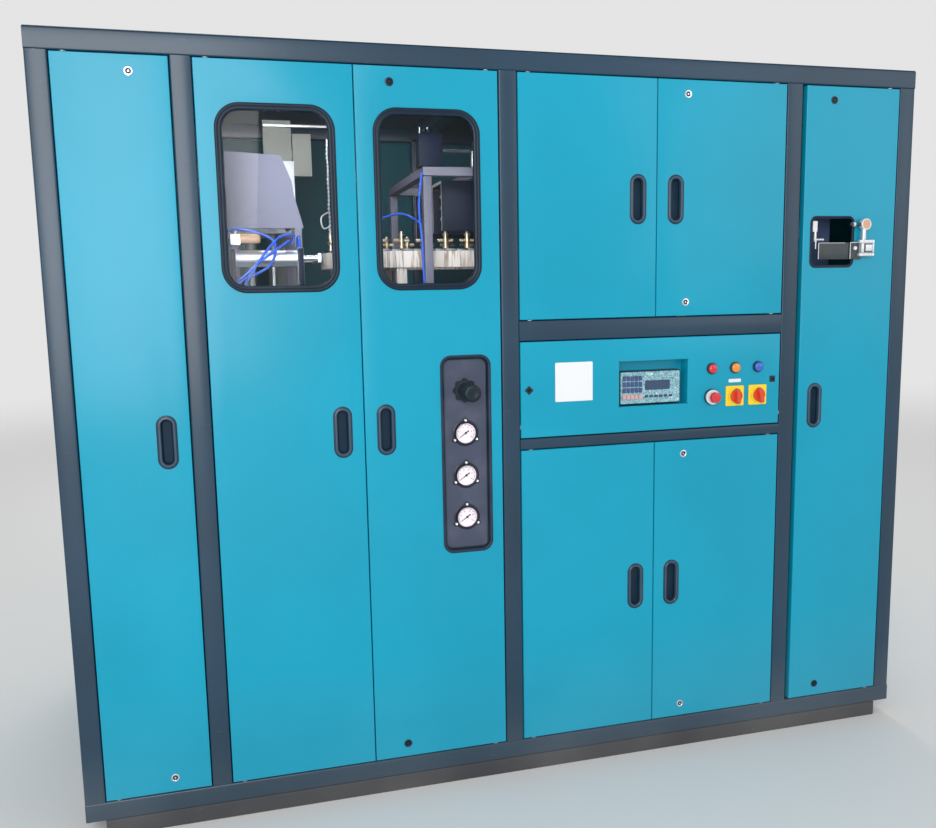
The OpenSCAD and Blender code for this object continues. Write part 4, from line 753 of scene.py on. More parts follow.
def buildScrewTree():
    tree, given, end = newTree("Screw Heads", {
        "Head Diameter": 0.008, "Head Height": 0.002, "Socket Share": 0.5, "Socket Sides": 6,
        "Turn": (0.0, 0.0, 0.0),
    })
    half, tall = times(tree, given["Head Diameter"], 0.5), given["Head Height"]
    head = addNode(
        tree, "GeometryNodeMeshCylinder",
        {"Vertices": screwShape["sides"], "Radius": half, "Depth": tall}, fill_type="NGON",
    )
    eased = addNode(tree, "GeometryNodeExtrudeMesh", {
        "Mesh": head.outputs["Mesh"], "Selection": head.outputs["Top"],
        "Offset Scale": times(tree, tall, screwShape["crownHeight"]),
    })
    crown = addNode(tree, "GeometryNodeScaleElements", {
        "Geometry": eased.outputs["Mesh"], "Selection": eased.outputs["Top"],
        "Scale": screwShape["crownShare"],
    })
    pit = addNode(tree, "GeometryNodeMeshCylinder", {
        "Vertices": given["Socket Sides"], "Radius": times(tree, half, given["Socket Share"]),
        "Depth": times(tree, tall, screwShape["pitDepth"]),
    }, fill_type="NGON").outputs["Mesh"]
    raised = moved(tree, pit, vectorOf(tree, z=times(tree, tall, screwShape["pitLift"])))
    cut = addNode(
        tree, "GeometryNodeMeshBoolean", {0: crown.outputs[0], 1: raised}, operation="DIFFERENCE",
    )
    screws = onPoints(tree, given["Geometry"], cut.outputs["Mesh"], Rotation=given["Turn"])
    closeTree(tree, screws, given["Material"], end)
    return tree


# Dial ticks: small bars along an arc, every fifth one longer
tickShape = {"every": 5.0, "majorWidth": 0.8, "thickness": 0.0003}


def buildTickTree():
    tree, given, end = newTree("Dial Ticks", {
        "Tick Count": 51, "Sweep": 4.36, "First Angle": 3.75, "Radius": 0.0235,
        "Tick Length": 0.0022, "Tick Width": 0.0005,
    })
    index = addNode(tree, "GeometryNodeInputIndex").outputs[0]
    points = addNode(tree, "GeometryNodeMeshLine", {"Count": given["Tick Count"]}, mode="OFFSET")
    last = mathOf(tree, "SUBTRACT", given["Tick Count"], 1.0)
    step = mathOf(tree, "DIVIDE", given["Sweep"], last)
    angle = mathOf(tree, "SUBTRACT", given["First Angle"], times(tree, index, step))
    major = mathOf(tree, "LESS_THAN", mathOf(tree, "MODULO", index, tickShape["every"]), 0.5)
    length = times(tree, given["Tick Length"], plus(tree, 1.0, major))
    reach = mathOf(tree, "SUBTRACT", given["Radius"], times(tree, length, 0.5))
    spot = vectorOf(
        tree, times(tree, reach, mathOf(tree, "COSINE", angle)),
        z=times(tree, reach, mathOf(tree, "SINE", angle)),
    )
    arc = addNode(tree, "GeometryNodeSetPosition", {"Geometry": points.outputs[0], "Position": spot})
    tick = addNode(tree, "GeometryNodeMeshCube", {"Size": (1.0, tickShape["thickness"], 1.0)})
    share = plus(tree, 1.0, times(tree, major, tickShape["majorWidth"]))
    ticks = onPoints(
        tree, arc.outputs[0], tick.outputs["Mesh"], Rotation=vectorOf(tree, y=times(tree, angle, -1.0)),
        Scale=vectorOf(tree, length, 1.0, times(tree, given["Tick Width"], share)),
    )
    dial = addNode(tree, "GeometryNodeRealizeInstances", {0: ticks}).outputs[0]
    closeTree(tree, onPoints(tree, given["Geometry"], dial), given["Material"], end)
    return tree


# Keys: a raised pad with a smaller top on every point of the path
def buildKeyTree():
    tree, given, end = newTree("Keypad Keys", {
        "Key Width": 0.009, "Key Height": 0.013, "Key Depth": 0.0015, "Top Share": 0.82,
    })
    size = vectorOf(tree, given["Key Width"], given["Key Depth"], given["Key Height"])
    pad = addNode(tree, "GeometryNodeMeshCube", {"Size": size})
    normal = addNode(tree, "GeometryNodeInputNormal").outputs[0]
    side = addNode(tree, "ShaderNodeSeparateXYZ", {0: normal}).outputs[1]
    raised = addNode(tree, "GeometryNodeExtrudeMesh", {
        "Mesh": pad.outputs["Mesh"], "Selection": mathOf(tree, "LESS_THAN", side, -0.5),
        "Offset Scale": times(tree, given["Key Depth"], 0.5),
    })
    top = addNode(tree, "GeometryNodeScaleElements", {
        "Geometry": raised.outputs["Mesh"], "Selection": raised.outputs["Top"],
        "Scale": given["Top Share"],
    })
    closeTree(tree, onPoints(tree, given["Geometry"], top.outputs[0]), given["Material"], end)
    return tree


# Mandrels: a turned brass peg with collars and a cross arm, set along the chain's path
mandrel = {
    "collars": [  # share of the radius, share of the height at the middle, share of the height
        (0.72, 0.5, 1.0), (1.0, 0.12, 0.24), (1.0, 0.5, 0.2), (1.0, 0.86, 0.12), (0.5, 1.03, 0.1),
    ],
    "armShare": 0.36,
    "beads": (-0.5, -0.34, 0.34, 0.5),
}


def buildMandrelTree():
    tree, given, end = newTree("Chain Mandrels", {
        "Body Diameter": 0.018, "Body Height": 0.045, "Arm Length": 0.038, "Bead Diameter": 0.011,
    })
    radius, height = times(tree, given["Body Diameter"], 0.5), given["Body Height"]
    parts = []
    for share, middle, tall in mandrel["collars"]:
        collar = addNode(tree, "GeometryNodeMeshCylinder", {
            "Vertices": 20, "Radius": times(tree, radius, share), "Depth": times(tree, height, tall),
        })
        parts.append(moved(tree, collar.outputs["Mesh"], vectorOf(tree, z=times(tree, height, middle))))
    arm = addNode(tree, "GeometryNodeMeshCylinder", {
        "Vertices": 12, "Radius": times(tree, radius, mandrel["armShare"]), "Depth": given["Arm Length"],
    })
    middle = times(tree, height, 0.5)
    parts.append(moved(
        tree, arm.outputs["Mesh"], vectorOf(tree, z=middle), Rotation=(0.0, math.pi / 2, 0.0),
    ))
    for side in mandrel["beads"]:
        bead = addNode(tree, "GeometryNodeMeshUVSphere", {
            "Segments": 12, "Rings": 8, "Radius": times(tree, given["Bead Diameter"], 0.5),
        })
        shift = vectorOf(tree, times(tree, given["Arm Length"], side), z=middle)
        parts.append(moved(tree, bead.outputs["Mesh"], shift))
    join = addNode(tree, "GeometryNodeJoinGeometry")
    for part in parts:
        tree.links.new(part, join.inputs[0])
    line = addNode(tree, "GeometryNodeMeshToCurve", {0: given["Geometry"]})
    spots = addNode(tree, "GeometryNodeCurveToPoints", {0: line.outputs[0]}, mode="EVALUATED")
    aim = addNode(
        tree, "FunctionNodeAlignEulerToVector", {"Vector": spots.outputs["Tangent"]}, axis="X",
    ).outputs[0]
    pegs = onPoints(tree, spots.outputs["Points"], join.outputs[0], Rotation=aim)
    closeTree(tree, pegs, given["Material"], end)
    return tree


tubeTree = buildTubeTree()
screwTree = buildScrewTree()
tickTree = buildTickTree()
keyTree = buildKeyTree()
mandrelTree = buildMandrelTree()
print("node trees ready")


# Cabinet frame
hinge = {"inset": 10, "rods": ((16, 10, 16), (2.2, 18, 20))}  # reach, thickness, sides
keeper = {"front": 20.8, "back": 23.3, "half": 15, "tall": 18, "round": 0.6}
hinges = [  # x of the pin, sill and head of its opening
    (82.5, 95, 1950), (399, 95, 1950), (1099, 95, 1950), (2337.5, 95, 1950),
    (1214, 95, 944), (1959.5, 95, 944), (1214, 1299, 1950), (1959.5, 1299, 1950),
]
keepers = [
    (224, 95, 1950), (843.5, 95, 1950), (2145.5, 95, 1950), (1678, 95, 944), (1678, 1299, 1950),
]
panelHinge = {
    "z": 1006.5,
    "ends": ((1181.5, 1), (1992, -1)),
    "lockX": (1208, 1965.5),
    "lockZ": 1109,
    "keepers": ((1181.5, 1198), (1975.5, 1992)),
}


def buildFrame():
    posts, tube, gap = cabinet["posts"], cabinet["tube"], cabinet["weldGap"]
    sill, top = cabinet["sillZ"], cabinet["topZ"]
    half, depth = tube / 2, cabinet["depth"]
    verts, edges = [], []

    def tubeBar(a, b):
        edges.append((len(verts), len(verts) + 1))
        verts.extend([at(*a), at(*b)])

    def depthBar(x, z):
        tubeBar((x + half, tube + gap, z), (x + half, depth - tube - gap, z))

    for y in (half, depth - half):
        for z in (sill, top):
            tubeBar((0, y, z + half), (cabinet["width"], y, z + half))
        for x in posts:
            tubeBar((x + half, y, sill + tube + gap), (x + half, y, top - gap))
    for x in posts:
        for z in (sill, top):
            depthBar(x, z + half)
    for x in posts[1:4]:
        depthBar(x, cabinet["tableZ"] - cabinet["tableThickness"] - half)
    section = {"Section Width": tube / 1000, "Corner Radius": cabinet["tubeRadius"] / 1000}
    finish = (frameSlate, "cabinet", "frame_paint")
    sizes = {**section, "Section Height": tube / 1000}
    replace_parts(runTree("cabinetFrame", tubeTree, verts, edges, sizes, *finish), "main_frame")
    for name, z, tall in cabinet["rails"]:
        ends = [at(x, half, z + tall / 2) for x in (posts[2] + tube + gap, posts[3] - gap)]
        runTree(name, tubeTree, ends, [(0, 1)], {**section, "Section Height": tall / 1000}, *finish)


def buildPlinth():
    inset, wide, tall = (cabinet["plinth"][key] for key in ("inset", "width", "height"))
    gap = cabinet["weldGap"]
    x0, x1, y1 = inset, cabinet["width"] - inset, cabinet["depth"] - inset
    bm = bmesh.new()
    block(bm, x0, x1, 0, wide, 0, tall, 3)
    block(bm, x0, x1, y1 - wide, y1, 0, tall, 3)
    for x in (x0, (x0 + x1 - wide) / 2, x1 - wide):
        block(bm, x, x + wide, wide + gap, y1 - wide - gap, 0, tall, 3)
    addPiece("plinthBars", bm, [plinthBlack], "cabinet", ["plinth"])


def buildPins():
    bm = bmesh.new()

    def pivot(axis, p, q, start, way):
        # a pin and its collar, from the tube into the opening
        for reach, d, steps in hinge["rods"]:
            a, b = sorted((start, start + way * reach))
            rod(bm, axis, p, q, a, b, d, steps=steps)

    def keep(x0, x1, z0, z1):
        block(bm, x0, x1, keeper["front"], keeper["back"], z0, z1, keeper["round"])

    for x, z0, z1 in hinges:
        for z, way in ((z0, 1), (z1, -1)):
            pivot("z", x, hinge["inset"], z, way)
    for x, z0, z1 in keepers:
        for low in (z0, z1 - keeper["tall"]):
            keep(x - keeper["half"], x + keeper["half"], low, low + keeper["tall"])
    z, half = panelHinge["lockZ"], keeper["half"]
    for x0, x1 in panelHinge["keepers"]:
        keep(x0, x1, z - half, z + half)
    for x, way in panelHinge["ends"]:
        pivot("x", hinge["inset"], panelHinge["z"], x, way)
    addPiece("hingePins", bm, [steelDrawn], "cabinet")


buildFrame()
buildPlinth()
buildPins()
print("frame built")


# Doors, covers and pulls
panels = {
    "depth": 20,
    "sheet": 1.6,
    "bendRadius": 2.4,
    "bendSteps": 4,
    "lockIn": 90,
    "lockDrop": 38.5,
    "lockHole": 16.1,
}
pull = {"width": 50, "height": 136, "depth": 15, "in": 56, "hole": (32.4, 118.4, 16, 8)}
doorEdges = {  # left, right, low and high edge
    "left_door": (52.5, 314, 97.5, 1947.5),
    "mould_door": (369, 751, 97.5, 1947.5),
    "gauge_door": (753.5, 1129, 97.5, 1947.5),
    "upper_left_door": (1184, 1585.5, 1301.5, 1947.5),
    "upper_right_door": (1588, 1989.5, 1301.5, 1947.5),
    "lower_left_door": (1184, 1585.5, 97.5, 941.5),
    "lower_right_door": (1588, 1989.5, 97.5, 941.5),
    "right_door": (2055.5, 2367.5, 97.5, 1947.5),
    "control_panel": (1184, 1989.5, 976.5, 1241.5),
}
windows = {
    "mould_door": {"x": 557, "z": 1617, "width": 292, "height": 460, "corner": 62},
    "gauge_door": {"x": 938.25, "z": 1617, "width": 281, "height": 460, "corner": 62},
}
tray = {"x": 1028.5, "z": 941, "width": 141, "height": 544, "corner": 30}
service = {
    "x": 2153.5, "z": 1506, "width": 150, "height": 150, "corner": 20,
    "hole": (141.6, 141.6, 16, 8),
}


def foldedSheet(bm, w, h, place, holes=()):
    # a folded tray: rounded outer bend, inner faces, and the holes cut through its face
    r, sheet, depth = panels["bendRadius"], panels["sheet"], panels["depth"]
    turns = [math.pi / 2 * k / panels["bendSteps"] for k in range(panels["bendSteps"] + 1)]
    bend = [(r * (1 - math.sin(t)), r * (1 - math.cos(t))) for t in turns]
    rows = bend + [(0, depth), (sheet, depth), (sheet, r + 0.4), (r + 0.4, sheet)]
    rings = loft(bm, plainRect(w, h), rows, place, ends=False)
    faces = [(rings[0], []), (rings[-1], [])]
    for outline, cx, cz in holes:
        cut = [[bm.verts.new(place(cx + u, cz + v, deep)) for u, v in outline] for deep in (0, sheet)]
        skin(bm, cut)
        for face, ring in zip(faces, cut):
            face[1].append(ring)
    for ring, cuts in faces:
        border = []
        for loop in [ring] + cuts:
            for i in range(len(loop)):
                pair = (loop[i], loop[(i + 1) % len(loop)])
                border.append(bm.edges.get(pair) or bm.edges.new(pair))
        bmesh.ops.triangle_fill(bm, use_beauty=True, edges=border)


def inner(part, inset, steps):
    # the outline of an opening, a little smaller than the part that covers its edge
    w, h, r = part["width"] - 2 * inset, part["height"] - 2 * inset, part["corner"] - inset
    return roundRect(w, h, r, steps)


def holeFor(part, inset, steps):
    return inner(part, inset, steps)(0), part["x"], part["z"]


def pullCup(bm, x, z):
    w, h, depth = pull["width"], pull["height"], pull["depth"]
    rows = [
        (9, 17, 1), (9, 0.2, 1), (0.4, 0.2, 0), (0, -0.5, 0), (1.2, -1.3, 0), (3.2, -1.5, 0),
        (4.2, -2.6, 2), (6.2, -3.6, 2), (8.6, -3.4, 2), (10.4, -2.0, 2), (11.2, 0.6, 2),
        (11.6, 6, 1), (12.4, depth - 2.2, 1), (14.5, depth, 1),
    ]
    loft(bm, roundRect(w, h, w / 2 - 0.05, 10), rows, front(x, z), 1)


def buildDoor(node, side, locks, openings=()):
    # side is 1 where the free edge is the left one, -1 where it is the right one
    x0, x1, z0, z1 = doorEdges[node]
    free = x0 if side > 0 else x1
    cx, cz = (x0 + x1) / 2, (z0 + z1) / 2
    pullX = free + side * pull["in"]
    holes = [(roundRect(*pull["hole"])(0), pullX, cz)]
    if locks:
        for z in (z0 + panels["lockDrop"], z1 - panels["lockDrop"]):
            holes.append((disc(panels["lockHole"], 20)(0), free + side * panels["lockIn"], z))
    holes += openings
    bm = bmesh.new()
    place = front(cx, cz)
    foldedSheet(bm, x1 - x0, z1 - z0, place, [(points, x - cx, z - cz) for points, x, z in holes])
    addNodePiece(node, bm, [doorTeal], node, 20)
    cup = bmesh.new()
    pullCup(cup, pullX, cz)
    addPiece(camel(node) + "Pull", cup, [pullSlate, pullDark, pullLip], node)


buildDoor("left_door", -1, True)
buildDoor("mould_door", -1, False, [holeFor(windows["mould_door"], 8, 10)])
buildDoor("gauge_door", 1, True, [holeFor(windows["gauge_door"], 8, 10), holeFor(tray, 6, 8)])
buildDoor("upper_left_door", -1, False)
buildDoor("upper_right_door", 1, True)
buildDoor("lower_left_door", -1, False)
buildDoor("lower_right_door", 1, True)
serviceHole = (roundRect(*service["hole"])(0), service["x"], service["z"])
buildDoor("right_door", 1, True, [serviceHole])


def buildWindow(door, name, node, paneNode):
    w = windows[door]
    rows = [
        (0.1, -0.2), (0.1, -1.8), (1.4, -3.4), (4.4, -4.0), (7.2, -3.6), (8.6, -2.7), (10.2, -3.5),
        (14.2, -3.4), (17.0, -2.0), (18.0, 0.4), (18.0, 3.9), (13.1, 3.9), (13.1, 8.1), (18.0, 8.1),
        (18.0, 10.6), (16.4, 12.0), (9.8, 12.0), (8.3, 10.6), (8.3, -0.2),
    ]
    place = front(w["x"], w["z"])
    ring = bmesh.new()
    loft(ring, inner(w, 0, 14), rows, place, closed=True)
    addPiece(name + "Gasket", ring, [rubberBlack], door, [node], 40)
    glass = bmesh.new()
    loft(glass, inner(w, 13.3, 14), [(0.4, 4.1), (0, 4.5), (0, 7.5), (0.4, 7.9)], place)
    addPiece(name + "Pane", glass, [paneClear], door, [paneNode])


buildWindow("mould_door", "mouldWindow", "mould_gasket", "mould_pane")
buildWindow("gauge_door", "gaugeWindow", "gauge_gasket", "gauge_pane")

edging = bmesh.new()
loft(edging, inner(service, 0, 10), [
    (0, -0.1), (0, -1.3), (0.8, -2), (6.8, -2), (8, -1), (8, 5.2), (7.2, 6), (5, 6), (4.3, 5.2),
    (4.3, -0.1),
], front(service["x"], service["z"]), closed=True)
addPiece("serviceEdging", edging, [rubberBlack], "right_door", angle=40)

covers = {
    "low": 95.3,
    "high": 1949.7,
    "gap": 0.3,
    "seat": 1.4,  # how far in they lie, so that their fasteners end flush with the frame
    "screwHeights": (130, 1022, 1915),
    "screwIn": 28,
    "sideScrewIn": 80,
    "rearBand": 30,  # what lies this near the back belongs to a rear cover
    "screws": {"Head Diameter": 0.016, "Head Height": 0.0016, "Socket Sides": 4, "Socket Share": 0.5},
}


def buildCovers():
    posts, tube, depth = cabinet["posts"], cabinet["tube"], cabinet["depth"]
    tall, middle = covers["high"] - covers["low"], (covers["low"] + covers["high"]) / 2
    seat, gap = covers["seat"], covers["gap"]
    bm = bmesh.new()
    for left, right in zip(posts, posts[1:]):
        x0, x1 = left + tube + gap, right - gap
        back = front((x0 + x1) / 2, middle)
        foldedSheet(bm, x1 - x0, tall, lambda u, v, d: back(u, v, depth - seat - d))
    wall = sideways(depth / 2, middle)
    for x, way in ((0, 1), (cabinet["width"], -1)):
        place = lambda u, v, d: wall(u, v, x + way * (seat + d))
        foldedSheet(bm, depth - 2 * (tube + gap), tall, place)
    bmesh.ops.recalc_face_normals(bm, faces=bm.faces)
    # faces turned into the cabinet take the darker teal copy, painted shade
    rear = (depth / 2 - covers["rearBand"]) / 1000
    for face in bm.faces:
        c = face.calc_center_median()
        inward = -face.normal.y if c.y > rear else -face.normal.x * math.copysign(1, c.x)
        face.material_index = 1 if inward > 0.5 else 0
    addPiece(
        "liftOffCovers", bm, [doorTeal, coverInsideShade], "cabinet", ["lift_off_panels"], 20,
    )


def buildCoverScrews():
    posts, tube, depth, wide = (cabinet[key] for key in ("posts", "tube", "depth", "width"))
    seat, edge, quarter = covers["seat"], covers["screwIn"], math.pi / 2
    rear = [x for left, right in zip(posts, posts[1:]) for x in (left + tube + edge, right - edge)]
    sides = (covers["sideScrewIn"], depth - covers["sideScrewIn"])
    for name, columns, turn in (
        ("rearFasteners", [(x, depth - seat) for x in rear], (-quarter, 0.0, 0.0)),
        ("leftFasteners", [(seat, y) for y in sides], (0.0, -quarter, 0.0)),
        ("rightFasteners", [(wide - seat, y) for y in sides], (0.0, quarter, 0.0)),
    ):
        spots = [at(x, y, z) for x, y in columns for z in covers["screwHeights"]]
        runTree(name, screwTree, spots, [], {**covers["screws"], "Turn": turn}, chrome, "cabinet")


buildCovers()
buildCoverScrews()
wide, deep = cabinet["width"], cabinet["depth"]
roof = bmesh.new()
roofRows = [(0, 2000), (0, 2001), (0.6, 2001.6)]
loft(roof, plainRect(wide - 2, deep - 2), roofRows, upright(wide / 2, deep / 2))
addPiece("roofSheet", roof, [frameSlate], "cabinet", ["roof_panel"])
print("doors and covers built")


# Locks
lock = {
    "face": 22,
    "barrel": 16,
    "plate": 18,
    "depth": 24,
    "cam": 3,
    "camHalf": 7,
    "camReach": 30,
    "tabReach": 17,
    "places": [  # door, x, height of the top and the low lock, way of the cam, look
        ("left", 224, 1909, 136, -1, "bright"), ("gauge", 843.5, 1909, 136, 1, "dark"),
        ("upper", 1678, 1909, 1340, 1, "bright"), ("lower", 1678, 903, 136, 1, "bright"),
        ("right", 2145.5, 1909, 136, 1, "dark"),
    ],
}


def buildLock(node, x, z, reach, look):
    # reach is how far the cam goes, sideways on the doors and down on the panel
    bm = bmesh.new()
    place, back, half = front(x, z), lock["depth"], lock["camHalf"]
    camBack = back + lock["cam"]
    if look in ("bright", "dark"):
        loft(bm, disc(lock["face"], 28), [
            (3, back), (3, -0.2), (0.2, -0.2), (0, -0.9), (0.6, -1.9), (1.6, -2.2), (3.4, -2.2),
            (4.4, -1.5), (4.9, -0.2, 1), (5.4, 0.9, 1),
        ], place)
        side = 4.6 if look == "bright" else 6.4
        loft(bm, roundRect(side, side, 0.6, 2), [(0, 0.9), (0, -1.4), (0.5, -1.9)], front(x, z, 12))
        x0, x1 = sorted((x, x + reach))
        block(bm, x0, x1, back, camBack, z - half, z + half, 0.7, 2)
    else:
        turned = front(x, z, 45 if look == "diamond" else 0)
        rod(bm, "y", x, z, -0.2, back, lock["barrel"])
        side = lock["plate"]
        loft(bm, roundRect(side, side, 1.6, 3), [(0, -0.2), (0, -1.2), (0.8, -2.0), (4, -2.2)], turned)
        loft(bm, roundRect(7, 7, 0.8, 2), [(0, -2.1), (0.8, -2.2)], turned, 3)
        block(bm, x - half, x + half, back, camBack, z - reach, z, 0.7, 2)
    loft(bm, disc(14, 6), [(0, back + 2.5), (0, back + 6.5), (1, back + 7.2)], place, 2)
    slot, face = ("lock_metal", chrome) if look == "bright" else ("lock_black", blackPlastic)
    addNodePiece(node, bm, [face, pullDark, steelDrawn, pullLip], node)


for door, x, top, low, way, look in lock["places"]:
    buildLock(door + "_door_top_lock", x, top, way * lock["camReach"], look)
    buildLock(door + "_door_low_lock", x, low, way * lock["camReach"], look)
for side, x, look in zip(("left", "right"), panelHinge["lockX"], ("diamond", "square")):
    buildLock("panel_" + side + "_lock", x, panelHinge["lockZ"], lock["tabReach"], look)
print("locks built")


# Gauge tray, gauges and regulator knob
gauge = {
    "heights": [999.4, 882.6, 765.8],
    "seat": 72.5,
    "bezel": 63,
    "glass": 56.5,
    "ear": 14,
    "earRadius": 35.5,
    "earAngles": (90, 210, 330),
    "screwDepth": 9.8,
    "faceDepth": 10.85,
    "tickRadius": 0.0245,
    "first": 215,
    "sweep": 250,
    "figureRadius": 16.6,
    "figureSize": 0.0062,
    "figureLift": 0.0001,
    "needleDepth": 9.4,
    "needle": [(-11, 2.2), (-3, 1.2), (0, 1.3), (21, 0.35), (22, 0)],  # half outline, tail first
    "hub": 7,
}
knob = {"z": 1116.2, "nut": (67, 96, 8, 6), "washer": 52, "grip": 47, "ribs": (47.6, 96, 24, 1.2)}
facingFront = (math.pi / 2, 0.0, 0.0)


def buildTray():
    bm = bmesh.new()
    # rim and walls take the darker copy, painted shade; only the floor in the last rows takes the lit
    # tray plastic
    loft(bm, inner(tray, 0, 12), [
        (6.4, 17), (6.4, -0.2), (0.3, -0.2), (0, -0.9), (1.0, -1.8), (3.0, -2.0), (5.6, -1.9),
        (7.4, -1.0), (8.6, 0.8), (9.4, 9.5), (10.6, 12.4), (13.4, 13.8, 1), (16, 14, 1),
    ], front(tray["x"], tray["z"]))
    addNodePiece("gauge_tray", bm, [trayEdge, trayPlastic], "gauge_door", 35)


def buildGauges():
    bm, glass, screws = bmesh.new(), bmesh.new(), []
    x = tray["x"]
    for z in gauge["heights"]:
        place = front(x, z)
        loft(bm, disc(gauge["seat"], 48), [(0, 13.9), (0, 12.9), (1, 12.3), (9, 12.3)], place)
        loft(bm, disc(gauge["bezel"], 48), [
            (2.5, 58), (2.5, 14), (0, 13.7), (0, 5.2), (0.5, 3.8), (1.6, 3.0), (2.8, 3.1),
            (3.8, 4.2), (4, 5.6), (4, 11, 1),
        ], place)
        for a in gauge["earAngles"]:
            ex = x + gauge["earRadius"] * math.cos(math.radians(a))
            ez = z + gauge["earRadius"] * math.sin(math.radians(a))
            loft(bm, disc(gauge["ear"], 24), [(0, 13.7), (0, 11.4), (1.2, 10.6)], front(ex, ez))
            screws.append(at(ex, gauge["screwDepth"], ez))
        loft(glass, disc(gauge["glass"], 40), [(0, 6.6), (0, 5.9), (3, 5.5)], place)
    addNodePiece("gauge_cases", bm, [blackPlastic, dialWhite], "gauge_door")
    addPiece("gaugeGlasses", glass, [gaugeGlass], "gauge_door")
    runTree("gaugeScrews", screwTree, screws, [], {
        "Head Diameter": 0.0085, "Head Height": 0.0022, "Turn": facingFront, "Socket Share": 0.45,
    }, chrome, "gauge_door")


def buildDials():
    x, deep, first = tray["x"], gauge["faceDepth"], gauge["first"]
    runTree("dialTicks", tickTree, [at(x, deep, z) for z in gauge["heights"]], [], {
        "Sweep": math.radians(gauge["sweep"]), "First Angle": math.radians(first),
        "Radius": gauge["tickRadius"],
    }, inkBlack, "gauge_door")
    bm = bmesh.new()
    for z in gauge["heights"]:
        for i in range(6):
            a, r = math.radians(first - gauge["sweep"] * i / 5), gauge["figureRadius"]
            curve = bpy.data.curves.new("figure", "FONT")
            curve.body = str(2 * i)
            curve.size = gauge["figureSize"]
            curve.align_x = curve.align_y = "CENTER"
            curve.extrude = gauge["figureLift"]
            holder = bpy.data.objects.new("figure", curve)
            bpy.context.scene.collection.objects.link(holder)
            mesh = bpy.data.meshes.new_from_object(holder)
            spot = Matrix.Translation(at(x + r * math.cos(a), deep, z + r * math.sin(a)))
            mesh.transform(spot @ Matrix.Rotation(math.pi / 2, 4, "X"))
            bm.from_mesh(mesh)
            bpy.data.objects.remove(holder)
            bpy.data.meshes.remove(mesh)
    addPiece("dialFigures", meshFrom(bm, "dialFigures"), [inkBlack], "gauge_door")


def buildNeedles():
    x, y = tray["x"], gauge["needleDepth"]
    side = gauge["needle"]
    shape = [(u, -v) for u, v in side[:1]] + side + [(u, -v) for u, v in side[-2:0:-1]]
    for i, z in enumerate(gauge["heights"], 1):
        bm = bmesh.new()
        place = front(x, z, gauge["first"])
        rings = [[bm.verts.new(place(u, v, d)) for u, v in shape] for d in (y + 0.4, y - 0.2)]
        skin(bm, rings)
        for ring in rings:
            bm.faces.new(ring)
        hub = [(2, 16), (2, y), (0, y), (0, y - 0.9), (1.2, y - 1.5)]
        loft(bm, disc(gauge["hub"], 20), hub, front(x, z))
        node = "gauge_needle_" + str(i)
        addNodePiece(node, bm, [inkBlack], node)


def buildKnob():
    place = front(tray["x"], knob["z"])
    nut, grip = bmesh.new(), bmesh.new()
    loft(nut, disc(*knob["nut"]), [(3, 80), (3, 14), (0, 13.7), (0, 7), (1.4, 6.1), (8, 6.0)], place)
    loft(nut, disc(knob["washer"], 40), [(0, 6.2), (0, 5), (2, 4.6)], place)
    addPiece("regulatorNut", nut, [knobCharcoal], "gauge_door")
    loft(grip, disc(knob["grip"], 48), [
        (17, 32), (17, 4), (3.5, 3.7), (3, 2.4), (3, -7), (1.4, -8.4), (1.4, -14), (0.2, -15.4),
        (0, -30), (1.0, -31), (1.0, -66), (0.2, -67), (0.6, -73), (2.2, -76.4), (5.5, -78), (12, -78),
        (13, -77.4), (22, -77.2),
    ], place)
    loft(grip, disc(*knob["ribs"]), [(0.9, -32), (0, -33), (0, -64), (0.9, -65)], place)
    addNodePiece("regulator_knob", grip, [knobCharcoal], "regulator_knob")


buildTray()
buildGauges()
buildDials()
buildNeedles()
buildKnob()
print("gauge tray built")


# Operator panel
station = {
    "plate": (1339.5, 1127.5, 111, 109),
    "recess": (1582.5, 1113.5, 213, 128.5),
    "recessDepth": 42,
    "recessEdge": 1.6,
    "terminal": (1577.5, 1100.25, 190, 96),
    "terminalBack": 41.7,
    "terminalLip": 11.7,
    "screen": (22, 6, 78, 27),
    "columns": (1766, 1841, 1916),
    "lampZ": 1147,
    "switchZ": 1064.5,
    "partHole": 22.4,
    "stem": 22,
}
pilot = {"ring": 33, "lens": 27, "body": 15, "behind": (29, 54)}
stopSwitch = {"collar": 47, "ring": 43, "button": 31, "body": (15, 22), "behind": (29, 60)}
turnSwitch = {
    "plate": (59, 59, 3.5, 4),
    "dial": 44,
    "body": 24,
    "behind": (19, 60),
    "label": (40, 10, 1.5, 3),
    "labelRise": 44.5,
    "hub": 38,
    "grip": (14, 46, 6.9, 8),
    "turns": (4, 12),
}
keypad = {
    "size": {"Key Width": 0.0098, "Key Height": 0.0135, "Key Depth": 0.0022},
    "softSize": {"Key Width": 0.0105, "Key Height": 0.0065, "Key Depth": 0.0022},
    "columns": [station["terminal"][0] - 81 + 12.5 * c for c in range(5)],
    "softColumns": [station["terminal"][0] - 12 + 15 * c for c in range(6)],
    "rows": (27, 10, -7),
    "footRow": -26,
    "rise": 0.4,
}


